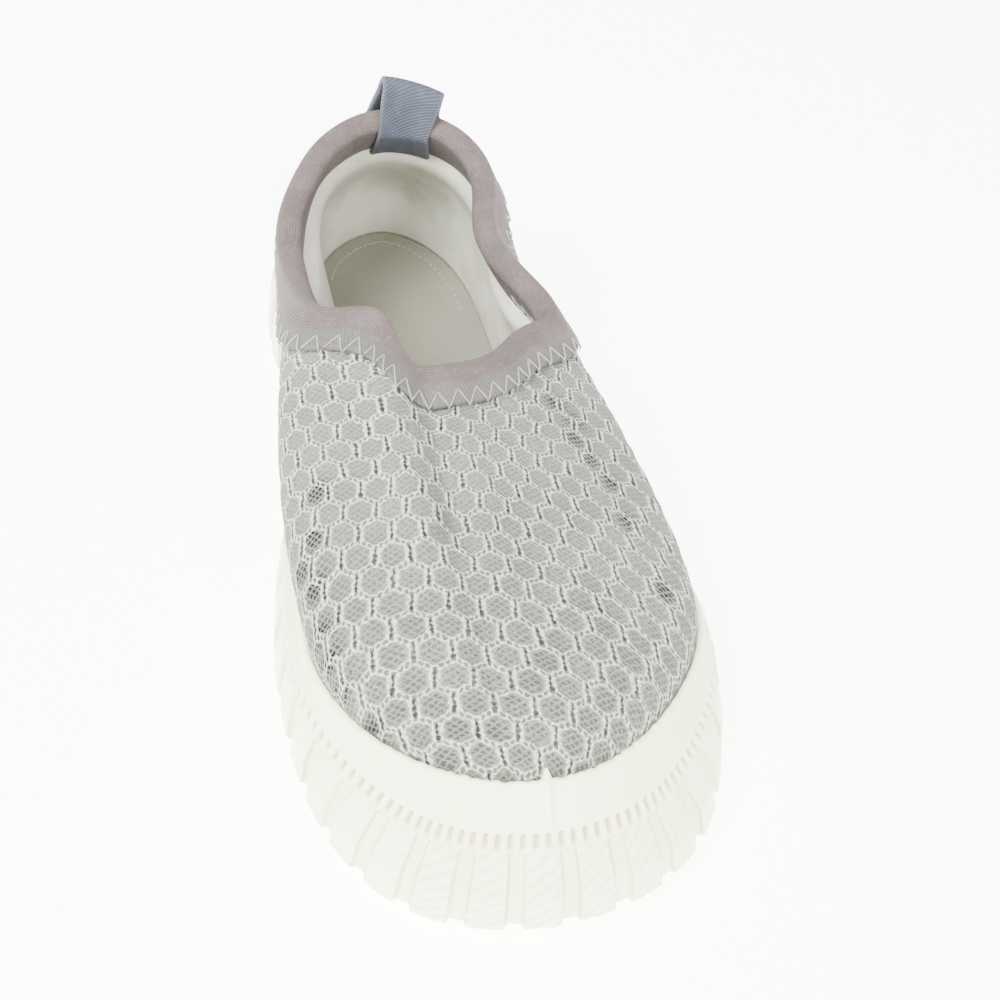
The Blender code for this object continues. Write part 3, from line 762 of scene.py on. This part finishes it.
def twill_finish():
    """Slate twill: fine diagonal lines over the ribbon and paler worn edges."""
    made = Finish("slate_twill_ribbon", (0.03, 0.036, 0.043), 0.75, 0.25)
    across, along = made.cloth()
    lines = abs((along + across * 0.45).repeat(0.6)).falls(0.06, 0.26)
    threads = abs(across.repeat(0.32)).falls(0.03, 0.15)
    edge = abs(across).rises(LOOP_WIDTH / 2 - 0.8, LOOP_WIDTH / 2)
    clouds = made.noise(3, 2)
    colour = made.mix(clouds.rises(0.3, 0.7), (0.042, 0.050, 0.066), (0.058, 0.067, 0.086))
    colour = made.mix(lines * 0.6, colour, (0.018, 0.022, 0.032))
    colour = made.mix(edge * 0.4, colour, (0.10, 0.10, 0.105))
    return made.done(colour, 1 - lines * 0.8 - threads * 0.3, 0.12, 0.9)


def thread_finish(name, colour):
    """Sewing thread: two plies, seen as fine clouds."""
    made = Finish(name, colour, 0.7, 0.3, 0.2)
    pale = tuple(min(1.0, c * 1.25) for c in colour)
    made.set(Base_Color=made.mix(made.noise(0.7, 1).rises(0.35, 0.65), colour, pale))
    return made.material


# Pieces


def knit_map(u, v):
    """Where each point of the wall lies on the flat knit, across and along, in millimetres.

    The knit's rows run to the toe, and round the heel they follow the wall. The map is the least-squares
    answer to: a step over the wall changes across and along by its own parts in those two directions.
    """
    coarse_u, coarse_v = np.linspace(0, 1, 121), np.linspace(-0.45, 1, 16)
    grid_u, grid_v = np.meshgrid(coarse_u, coarse_v)
    points = face(grid_u, grid_v)
    normal = wall(grid_u, grid_v, 1.0, True) - points
    share = line_shape(coarse_u)["foot"]
    tangent = OUTLINE_CURVE(share + 1e-3) - OUTLINE_CURVE(share - 1e-3)
    tangent = unit(tangent) * np.where(coarse_u < 0.5, 1, -1)[:, None]
    straight = smooth(0.08, 0.2, np.minimum(coarse_u, 1 - coarse_u))[:, None]
    turn = math.radians(KNIT_TURN_DEG)
    plan = tangent * (1 - straight) + np.array([-math.sin(turn), -math.cos(turn)]) * straight
    ahead = np.broadcast_to(np.column_stack([plan, np.zeros(len(plan))]), points.shape)
    ahead = unit(ahead - normal * (ahead * normal).sum(-1, keepdims=True))
    sideways = np.cross(ahead, normal)
    number = np.arange(points[..., 0].size).reshape(points.shape[:2])
    first = np.r_[number[:, :-1].ravel(), number[:-1].ravel()]
    second = np.r_[number[:, 1:].ravel(), number[1:].ravel()]
    flat, side, fore = points.reshape(-1, 3), sideways.reshape(-1, 3), ahead.reshape(-1, 3)
    step = flat[second] - flat[first]
    weight = 1 / np.einsum("ij,ij->i", step, step)
    wanted = [np.einsum("ij,ij->i", step, (way[first] + way[second]) / 2) for way in (side, fore)]
    pull = np.stack(wanted, 1) * weight[:, None]
    system = np.zeros((len(flat), len(flat)))
    right = np.zeros((len(flat), 2))
    for here, there, sign in ((first, second, -1), (second, first, 1)):
        np.add.at(system, (here, here), weight)
        np.add.at(system, (here, there), -weight)
        np.add.at(right, here, sign * pull)
    system[0, 0] += 1
    found = np.linalg.solve(system, right).reshape(*number.shape, 2)
    found = found - found[-4, 63]
    across, along = found[..., 0], found[..., 1]
    medial = smooth(-4, 22, across)
    wale = np.clip(THROAT_WALE + STRETCH * along, THROAT_WALE - 0.2, WALE + 0.3)
    wale = wale + MEDIAL_WALE * medial * (1 - smooth(20, 60, along))
    fading = np.clip(along, 0, SHRINK_REACH) ** 2 / (2 * SHRINK_REACH)
    shrunk = COURSE_SHRINK * (np.minimum(along, SHRINK_REACH) - fading)
    slant = medial * MEDIAL_SLANT * (SLANT_REACH - np.clip(along, 0, SLANT_REACH)) ** 2 / (2 * SLANT_REACH)
    fading = np.clip(along, 0, TURN_REACH) ** 2 / (2 * TURN_REACH)
    turned = medial * MEDIAL_TURN * (np.clip(along, 0, TURN_REACH) - fading)
    found = np.stack([across * WALE / wale - turned, along + shrunk + slant + KNIT_SKEW * across], -1)
    made = []
    for k in (0, 1):
        by_v = np.array([np.interp(v, coarse_v, line) for line in found[..., k].T])
        made.append([np.interp(u, coarse_u, row) for row in by_v.T])
    return np.moveaxis(np.array(made), 0, -1)


def knit_relief(across, along):
    """How far the knit stands below its yarn: a soft hexagonal window in each half cell."""
    x = np.abs((across / WALE + 0.5) % 1 - 0.5) * WALE
    y = np.abs((along / COURSE + 0.5) % 1 - 0.5) * COURSE
    n = (y - SLIT - x * LOOP_SLOPE) / math.hypot(1, LOOP_SLOPE)
    s = np.where(n < 0, x, WALE / 2 - x)
    return -WINDOW_DEPTH * smooth(0.4, 1.5, np.minimum(s, np.abs(n) + 0.4))


def build_knit(finish):
    """The upper: its knitted face in fine steps, then over the rim and down the inner face in coarse ones."""
    count = 720
    share = np.arange(count + 1) / count
    u = place_round(share)
    u -= u[0]
    u *= 1 / u[-1]
    v = np.r_[np.linspace(-0.45, -0.05, 6), np.linspace(0, 0.97, 100), 1.0]
    cloth = knit_map(u, v)
    grid_u, grid_v = np.meshgrid(u[:-1], v)
    within = smooth(0, 0.06, grid_v) * (1 - smooth(0.93, 0.99, grid_v))
    outer = wall(grid_u, grid_v, knit_relief(cloth[:, :-1, 0], cloth[:, :-1, 1]) * within)
    inner_v = np.linspace(1, -0.45, 12)
    inner = wall(*np.meshgrid(u[:-1], inner_v), -WALL + 0.6)
    grid = np.concatenate([outer, inner])
    # Spots of painted shade, where the dark inside shows through the knit.
    uv = np.concatenate([cloth, np.repeat(cloth[-1:], len(inner_v), 0)])
    spots = np.zeros(grid.shape[:2])
    for x, y in THIN_PLACES:
        away = np.hypot(grid[..., 0] - x, grid[..., 1] - y)
        spots = np.maximum(spots, np.exp(-((away / 1.7) ** 2)))
    return ring_piece("knit_upper", grid, finish, True, uv, {"see_through_shade": spots})


def lining_thickness(u, below):
    """How thick the lining is this far below the binding: a round roll that is fullest at the heel."""
    round_heel = smooth(0.60, 0.74, u) + 1 - smooth(0.20, 0.34, u)
    rolled = np.clip(below / ROLL_REACH, 0, 1)
    full = (LINING_THIN + LINING_ROLL * round_heel) * np.sqrt(rolled * (2 - rolled))
    return 0.25 + full * (1 - 0.25 * smooth(12, 30, below))


def build_lining(finish):
    """The padded lining: a closed pad on the inner face, from under the binding down to the insole."""
    count = 360
    u = np.arange(count) / count
    top = down_from_rim(u, BINDING_WIDTH - 0.8)
    share = np.r_[np.linspace(0, 0.3, 16), np.linspace(0.33, 1, 24)][:, None]
    v = top + (LINING_FOOT - top) * share
    grid_u = np.broadcast_to(u, v.shape)
    spine = face(grid_u, v)
    thick = lining_thickness(grid_u, run_length(spine))
    inside = wall(grid_u, v, -WALL - thick)
    outside = wall(grid_u, v, -WALL + 0.3)
    grid = np.concatenate([inside, outside[::-1]])
    return ring_piece("padded_lining", grid, finish)


def build_binding(finish):
    """The elastic binding: a flat oval profile folded over the rim, with a soft edge at each leg's end."""
    count = 720
    u = np.arange(count + 1) / count
    low = down_from_rim(u, BINDING_WIDTH)
    up = unit(wall(u, 1.0) - wall(u, 0.97))
    near, far = GAP * 0.4, GAP + BINDING_THICKNESS
    rows, stitched, run = [], [], []

    def add(share, offset, rise, seam):
        v = 1 + (low - 1) * share
        rows.append(wall(u, v, offset) + up * rise)
        stitched.append(np.full(count + 1, seam))

    for share, offset in ((1.0, near), (1.015, 0.5 * far), (0.99, 0.85 * far)):
        add(share, offset, 0, 1)
    for share in np.linspace(0.95, 0.1, 13):
        add(share, far + 0.12 * math.sin(share * math.pi), 0, float(smooth(0.42, 0.55, share)))
    for turn in np.linspace(0, math.pi, 11):
        add(0.0, -WALL / 2 + (WALL / 2 + far) * math.cos(turn), 0.2 + 1.1 * far * math.sin(turn), 0)
    for share in np.linspace(0.1, 0.95, 11):
        add(share, -WALL - far - 0.1 * math.sin(share * math.pi), 0, 0.6 * float(smooth(0.5, 0.62, share)))
    for share, offset in ((0.99, -WALL - 0.85 * far), (1.015, -WALL - 0.5 * far), (1.0, -WALL - near)):
        add(share, offset, 0, 0.6)
    add(0.5, -WALL - near, 0, 0)
    add(0.02, -WALL - near, 0, 0)
    add(0.0, -WALL / 2, near, 0)
    add(0.02, near, 0, 0)
    add(0.5, near, 0, 0)
    grid = np.stack(rows)
    along, across = run_length(grid[15]), run_length(grid[:, 0])
    uv = np.stack(np.broadcast_arrays(across[:, None], along[None]), -1)
    fields = {"stitched": np.stack(stitched)[:, :-1]}
    return ring_piece("collar_binding_ribbon", grid[:, :-1], finish, True, uv, fields)


def seam_rise(u):
    """How far the zigzag seam stands higher on the medial side, where the binding rolls outwards."""
    return SEAM_RISE * smooth(0.03, 0.09, u) * (1 - smooth(0.24, 0.3, u))


def build_zigzag(finish):
    """The zigzag stitches over the binding's lower edge, outside all round and inside by the lateral side."""
    fine = np.linspace(0, 1, 1441)
    rim = wall(fine, 0.9)
    length = run_length(rim)
    count = int(length[-1] / STITCH_PITCH)
    places = np.interp(np.arange(2 * count + 1) / (2 * count) * length[-1], length, fine)
    t = np.linspace(0, 1, 9)
    u = places[:-1, None] + (places[1:] - places[:-1])[:, None] * t
    climb = np.where(np.arange(2 * count)[:, None] % 2 == 0, t, 1 - t)
    proud = GAP + BINDING_THICKNESS + 0.14
    paths = []
    for side, low, high, kept in ((1, 0.0, 1.0, 0.7), (-1, 0.55, 0.8, -1.0)):
        use = (places[:-1] >= low) & (places[:-1] < high)
        at, up = u[use].ravel(), climb[use].ravel()
        v = down_from_rim(at, BINDING_WIDTH + kept - seam_rise(at) - STITCH_HEIGHT * up)
        sunk = 0.85 if side > 0 else 0.0
        lift = proud - sunk * smooth(0, 0.14, 0.14 - up) * (seam_rise(at) < 0.5)
        offset = lift if side > 0 else -WALL - lift
        paths.append(wall(at, v, offset).reshape(-1, len(t), 3))
    return tubes("zigzag_stitches", np.concatenate(paths), ZIGZAG_THREAD, finish)


def build_insole(finish):
    """The insole: a flat pad with a rounded edge and a shallow dish under the heel."""
    count = 360
    u = place_round(np.arange(count) / count)
    rows = []
    levels = ((0.0, 0.0), (0.7, 0.0), (0.85, 0.08), (0.95, 0.2), (1.0, 0.42))
    for height, inset in levels:
        z = FLOOR_THICKNESS + GAP + height * INSOLE_THICKNESS
        rows.append(foot(u, z, -WALL - GAP - inset * INSOLE_THICKNESS))
    edge = rows[-1]
    spine_y = np.clip(edge[:, 1], -SHOE_LENGTH * 0.33, SHOE_LENGTH * 0.36)
    spine = np.column_stack([np.full(len(u), 0.0), spine_y])
    for share in np.linspace(0.06, 0.94, 16):
        plan = edge[:, :2] * (1 - share) + spine * share
        dish = 0.35 * smooth(0, 0.5, share)
        rows.append(np.column_stack([plan, edge[:, 2] - dish + spring(plan[:, 1]) - spring(edge[:, 1])]))
    return ring_piece("insole_pad", np.stack(rows), finish, False)


def build_insole_stitches(finish):
    """A row of short stitches in an arc round the insole's heel."""
    u = np.linspace(-INSOLE_ARC, INSOLE_ARC, INSOLE_STITCHES)
    seam = foot(u, FLOOR_THICKNESS + GAP + INSOLE_THICKNESS, -WALL - GAP - INSOLE_SEAM_INSET)
    run = unit(np.gradient(seam, axis=0))
    t = np.linspace(-0.5, 0.5, 5)[:, None]
    bow = 0.16 * (1 - (2 * t) ** 2) - 0.3
    paths = seam[:, None] + run[:, None] * t + np.array([0, 0, 1]) * bow
    return tubes("insole_stitches", paths, INSOLE_THREAD, finish, 5)


def ribbon_path():
    """The pull loop's line from its inner leg to its outer one: (out of the wall, above the rim)."""
    outer = 2 * GAP + BINDING_THICKNESS + LOOP_THICKNESS / 2
    inner = -WALL - outer
    middle = (inner + outer) / 2
    reach = (outer - inner) / 2
    fold = 0.8 * LOOP_THICKNESS
    right = [
        (outer, -LOOP_LEG),
        (outer, -0.5 * LOOP_LEG),
        (outer, 0.0),
        (middle + 0.75 * reach, 0.28 * LOOP_STAND),
        (middle + 1.6 * fold, 0.62 * LOOP_STAND),
        (middle + 1.3 * fold, 0.85 * LOOP_STAND),
        (middle + 0.7 * fold, 0.97 * LOOP_STAND),
    ]
    left = [(2 * middle - a, b) for a, b in right]
    return np.array(left + [(middle, LOOP_STAND)] + right[::-1])


def loop_point(across, distance, height):
    """A point of the tilted pull loop: out of the wall by distance, and above the rim by height."""
    near_tip = wall(np.array([-0.01, 0.01]), 1.0, 0.0, True)
    u = across / np.linalg.norm(near_tip[1] - near_tip[0]) * 0.02
    v = down_from_rim(u, np.maximum(0.0, -height))
    points = wall(u, v, distance, True)
    share = np.maximum(0.0, height) / LOOP_STAND
    tilt = math.radians(LOOP_TILT_DEG)
    points[:, 0] += share * LOOP_STAND * math.sin(tilt)
    points[:, 2] += share * (LOOP_STAND * math.cos(tilt) + across * math.sin(tilt))
    return points


def build_loop(finish):
    """The pull loop: a flat ribbon along a smooth path, with rounded edges."""
    knots = ribbon_path()
    at = run_length(knots)
    place = np.linspace(0, at[-1], 61)
    path = np.stack([np.interp(place, at, knots[:, k]) for k in (0, 1)], 1)
    for _ in range(3):
        path[1:-1] = (path[:-2] + 2 * path[1:-1] + path[2:]) / 4
    run = unit(np.gradient(path, axis=0))
    side = np.stack([-run[:, 1], run[:, 0]], 1)
    half = LOOP_WIDTH / 2
    flat = np.linspace(-half + 0.3, half - 0.3, 15)
    profile = [(x, 1.0) for x in flat] + [(half, 0.5), (half, -0.5)] + [(x, -1.0) for x in flat[::-1]]
    profile += [(-half, -0.5), (-half, 0.5)]
    across = np.array([x for x, _ in profile])
    way = np.array([w for _, w in profile])
    rows = []
    for (distance, height), turn in zip(path, side * LOOP_THICKNESS / 2):
        rows.append(loop_point(across, distance + way * turn[0], height + way * turn[1]))
    grid = np.stack(rows)
    uv = np.stack(np.broadcast_arrays(np.r_[across, across[0]][None], place[:, None]), -1)
    return ring_piece("twill_loop", grid, finish, False, uv)


def build_loop_stitches(finish):
    """Short pale stitches across both legs of the loop, just above the rim."""
    path = ribbon_path()
    starts = np.linspace(-LOOP_WIDTH / 2 + 1.4, LOOP_WIDTH / 2 - 1.4, 7)
    t = np.linspace(-0.5, 0.5, 5)
    paths = []
    for way, knot in ((-1, 3), (1, -4)):
        distance = path[knot, 0] + way * (LOOP_THICKNESS / 2 + 0.12)
        for x in starts:
            bow = 0.12 * (1 - (2 * t) ** 2) - 0.06
            paths.append(loop_point(x + t * 1.3, distance + way * bow, np.full(5, path[knot, 1] - 1.2)))
    return tubes("loop_stitches", np.stack(paths), LOOP_THREAD, finish, 5)


def build_sole(finish):
    """The sole's moulded side. Each column is a profile from the tread up the wall, over the edge and down
    into the cup, and the gaps and slots are pushed in where the column and the row are both within them."""
    share = np.arange(SOLE_COLUMNS) / SOLE_COLUMNS
    here, out = outline(share)
    u = place_round(share)
    lift = spring(here[:, 1])
    lean = whole_lean(here[:, 1])
    lug_away = np.abs((share * LUG_COUNT) % 1 - 0.5) * PERIMETER / LUG_COUNT
    gap = 1 - smooth(LUG_GAP_WIDTH / 2 - 0.25, LUG_GAP_WIDTH / 2 + 0.25, lug_away)
    rib_away = np.abs((share * RIB_COUNT) % 1 - 0.5) * PERIMETER / RIB_COUNT
    slot = 1 - smooth(RIB_SLOT_WIDTH / 2 - 0.2, RIB_SLOT_WIDTH / 2 + 0.25, rib_away)
    knots_z = np.array([row[1] for row in SOLE_FACE])
    knots_in = np.stack([row[0] * (lean - STEP_WIDTH) + row[2] * STEP_WIDTH for row in SOLE_FACE])
    from_parting = np.abs((share - PARTING + 0.5) % 1 - 0.5) * PERIMETER
    bead = BEAD * np.exp(-((from_parting / BEAD_WIDTH) ** 2))
    rows, kinds, recess_shade = [], [], []

    def add(inset, z, kind=0.0, painted_shade=0.0):
        """One ring: kind -1 under the sole, 1 on the lugs, 0 elsewhere, and how much painted shade it gets in
        the gaps and slots.
        """
        plan = here - out * np.broadcast_to(inset, SOLE_COLUMNS)[:, None]
        rows.append(np.column_stack([plan, z + spring(plan[:, 1]) if kind < 0 else z + lift]))
        kinds.append(kind)
        recess_shade.append(np.broadcast_to(painted_shade, SOLE_COLUMNS))

    def face_inset(z):
        """How far in from the outline the plain face lies at this height, all round."""
        return np.array([np.interp(z, knots_z, line) for line in knots_in.T])

    add(LUG_REACH + CHANNEL_WIDTH + 1.5, CHANNEL_DEPTH, -1)
    add(LUG_REACH + 0.3, CHANNEL_DEPTH, -1)
    add(LUG_REACH, CHANNEL_DEPTH - 0.3, -1)
    add(LUG_REACH, 0.3 + (TREAD_DEPTH - 0.3) * gap, -1)
    for inset, deep in ((LUG_REACH - 0.3, 1.0), (6.5, 0.9), (4.8, 0.6), (3.4, 0.3), (2.4, 0.0)):
        add(inset, TREAD_DEPTH * deep * gap, -1)
    heights = np.r_[0.0, 0.12, 0.4, 0.8, np.arange(1.5, LUG_TOP - 0.6, 0.85)]
    for z in np.r_[heights, LUG_TOP - 0.35, LUG_TOP - 0.05, (LUG_TOP + LEDGE) / 2, LEDGE]:
        rounded = 0.8 * max(0.0, 1 - z / 0.8) ** 2 + 0.25 * math.exp(-(((z - LUG_TOP) / 0.25) ** 2))
        upper_part = max(0.0, (z - 0.55 * LUG_TOP) / (0.45 * LUG_TOP))
        deep = LUG_GAP_DEPTH + (STEP_WIDTH - LUG_GAP_DEPTH) * upper_part
        fade = float(smooth(0.0, 1.0, (LEDGE - z) / (LEDGE - LUG_TOP)))
        # Painted shade in the lug gaps, strongest along their two edges, fading out at the ledge.
        painted_shade = (0.1 * gap + 2.6 * gap * (1 - gap)) * fade
        add(face_inset(z) + rounded + deep * gap * fade - 0.7 * bead, z, 1.0, painted_shade)
    low, high = LEDGE + 0.2, RIB_TOP - 0.2
    heights = np.r_[low - 0.1, low, low + 0.2, np.linspace(low + 0.5, high - 0.4, 3), high - 0.1]
    for z in np.r_[heights, high + 0.05, high + 0.25]:
        mask = float(smooth(low - 0.1, low + 0.15, z) * (1 - smooth(high - 0.1, high + 0.2, z)))
        # The rib slots are pushed in and get painted shade.
        add(face_inset(z) + (RIB_DEPTH * slot - bead) * mask, z, 0.0, 0.65 * mask * slot)

    # The smooth band up to the rubber's edge, the rounded edge with the pointed tip, and the cup inside.
    last = rows[-1]
    tip = TIP_HEIGHT * np.exp(-((from_parting / TIP_WIDTH) ** 2))
    turns = 2 * math.pi * share
    ragged = 0.004 * (np.sin(97 * turns) + np.sin(151 * turns + 1) + np.sin(61 * turns + 2))
    edge_low = wall(u, -0.12, GAP + EDGE_THICKNESS, True)
    edge_low[:, 2] += tip * 0.5
    for t in np.linspace(0.15, 1, 7):
        proud = np.column_stack([out, np.ones(SOLE_COLUMNS)]) * 0.7 * bead[:, None]
        rows.append(last + (edge_low - last) * t + proud)
    for turn in np.linspace(0.1, 0.95, 5) * math.pi:
        offset = 0.03 + EDGE_THICKNESS * 0.45 * (1 + math.cos(turn))
        point = wall(u, -0.02 + 0.04 * tip + ragged, offset, True)
        point[:, 2] += 0.35 * math.sin(turn)
        rows.append(point)
    for v, offset in ((-0.08, 0.03), (-0.16, 0.1), (-0.3, GAP), (-0.5, GAP)):
        rows.append(wall(u, v, offset, True))
    rows.append(foot(u, FLOOR_THICKNESS, GAP))

    grid = np.stack(rows)
    z = grid[..., 2]
    plain = len(rows) - len(kinds)
    toe = smooth(0.40, 0.47, share) * (1 - smooth(0.53, 0.60, share))
    on_lug = (np.array(kinds + [0.0] * plain) > 0.5)[:, None] * (1 - gap)
    fields = {
        "groove": on_lug * toe * smooth(1.5, 2.5, z) * (1 - smooth(12.5, 13.5, z - lift)),
        "groove_at": z * 0.9 - share * PERIMETER * 0.45,
        "recess_shade": np.stack(recess_shade + [np.zeros(SOLE_COLUMNS)] * plain),
    }
    return ring_piece("rubber_sole", grid, finish, False, None, fields)


def build_tread(finish):
    """The bars across the middle of the tread: a flat oval profile carried from side to side for each bar."""
    inset = LUG_REACH + CHANNEL_WIDTH / 2
    span = SHOE_LENGTH - 2 * inset
    centres = (0.5 - np.arange(1, BAR_COUNT + 1) / (BAR_COUNT + 1)) * span
    share = np.linspace(0, 1, 2001)
    here, out = outline(share)
    inner = here - out * (LUG_REACH + CHANNEL_WIDTH)
    sides = [side[np.argsort(side[:, 1])] for side in (inner[share < 0.5], inner[share >= 0.5])]
    tops = np.r_[inner[:, 1].max() - 0.3, centres - CHANNEL_WIDTH / 2]
    bottoms = np.r_[centres + CHANNEL_WIDTH / 2, inner[:, 1].min() + 0.3]
    around = 20
    turn = np.arange(around) * 2 * math.pi / around
    round_y = np.sign(np.cos(turn)) * np.abs(np.cos(turn)) ** 0.35
    round_z = np.sign(np.sin(turn)) * np.abs(np.sin(turn)) ** 0.35
    s = np.r_[0.0, 0.004, 0.02, np.linspace(0.06, 0.94, 12), 0.98, 0.996, 1.0][:, None]
    shrink = np.r_[0.6, 0.88, 1.0, np.ones(12), 1.0, 0.88, 0.6][:, None]
    z = (CHANNEL_DEPTH / 2 + 0.12) * (1 + round_z * shrink)
    one = capped(len(s), around)
    points, faces = [], []
    for top, bottom in zip(tops, bottoms):
        y = (top + bottom) / 2 + (top - bottom) / 2 * round_y
        left, right = (np.interp(y, side[:, 1], side[:, 0]) for side in sides)
        x = left + (right - left) * s
        y = np.broadcast_to(y, x.shape)
        faces.append(one + len(points) * x.size)
        points.append(np.stack([x, y, z + spring(y)], -1).reshape(-1, 3))
    return piece("tread_bars", np.concatenate(points), np.concatenate(faces), finish)


# The shoe

rubber = rubber_finish()
zigzag_thread = thread_finish("pale_grey_thread", (0.16, 0.16, 0.145))
insole_thread = thread_finish("beige_thread", (0.21, 0.205, 0.16))
loop_thread = thread_finish("light_blue_thread", (0.17, 0.21, 0.27))
for build, finish, slot, node in (
    (build_sole, rubber, "cream_rubber", "sole"),
    (build_tread, rubber, "cream_rubber", "sole"),
    (build_knit, knit_finish(), "grey_mesh_fabric", "upper"),
    (build_lining, lining_finish(), "grey_mesh_fabric", "upper"),
    (build_binding, elastic_finish(), "lilac_grey_elastic", "collar_binding"),
    (build_zigzag, zigzag_thread, "lilac_grey_elastic", None),
    (build_insole, insole_finish(), "pale_insole_foam", "insole"),
    (build_insole_stitches, insole_thread, "pale_insole_foam", None),
    (build_loop, twill_finish(), "slate_twill_ribbon", "pull_loop"),
    (build_loop_stitches, loop_thread, "slate_twill_ribbon", None),
):
    made = build(finish)
    if node:
        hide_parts(node)


# Floor, light and camera

FLOOR_HALF = 3
FLOOR_GLOW = 6.0
WORLD_GLOW = 1.8
CAMERA_PLACE = (-0.0514, -0.19032, 0.22219)
CAMERA_YAW, CAMERA_PITCH, CAMERA_ROLL = np.radians([-17.705, 47.561, 6.408])
CAMERA_LENS = 56.16


def area_light(name, place, aim, size, power):
    """A square soft light at a place, turned to face its aim."""
    data = bpy.data.lights.new(name, "AREA")
    data.size = size
    data.energy = power
    made = placed(name, data)
    ahead = unit(np.subtract(aim, place))
    made.location = place
    made.rotation_euler = (math.acos(-ahead[2]), 0, math.atan2(ahead[1], ahead[0]) - math.pi / 2)


floor_mesh = bpy.data.meshes.new("pale_floor")
corners = [(x * FLOOR_HALF, y * FLOOR_HALF, 0) for x, y in ((-1, -1), (1, -1), (1, 1), (-1, 1))]
floor_mesh.from_pydata(corners, [], [(0, 1, 2, 3)])
floor = placed("pale_floor", floor_mesh)
floor_finish = Finish("pale_floor", (0.88, 0.88, 0.88), 0.9, 0.5, 0.0, Emission_Strength=FLOOR_GLOW)
floor_mesh.materials.append(floor_finish.material)

world = bpy.data.worlds.new("studio")
world.use_nodes = True
background = world.node_tree.nodes["Background"]
background.inputs["Color"].default_value = (1, 1, 1, 1)
background.inputs["Strength"].default_value = WORLD_GLOW
bpy.context.scene.world = world
area_light("key_light", (-0.38, -0.15, 0.68), (0, -0.02, 0.02), 0.35, 24.5)
area_light("fill_light", (0.12, -0.62, 0.52), (0, 0.02, 0.02), 0.45, 14.0)

look = np.array([
    -math.sin(CAMERA_YAW) * math.cos(CAMERA_PITCH),
    math.cos(CAMERA_YAW) * math.cos(CAMERA_PITCH),
    -math.sin(CAMERA_PITCH),
])
level = np.array([math.cos(CAMERA_YAW), math.sin(CAMERA_YAW), 0.0])
raised = np.cross(level, look)
right = math.cos(CAMERA_ROLL) * level + math.sin(CAMERA_ROLL) * raised
upward = np.cross(right, look)
camera_data = bpy.data.cameras.new("photo_camera")
camera_data.lens = CAMERA_LENS
camera_data.sensor_width = 36.0
camera_data.clip_start = 0.01
camera = placed("photo_camera", camera_data)
turned = np.eye(4)
turned[:3, 0], turned[:3, 1], turned[:3, 2], turned[:3, 3] = right, upward, -look, CAMERA_PLACE
camera.matrix_world = Matrix(turned.tolist())
bpy.context.scene.camera = camera

bpy.context.view_layer.update()
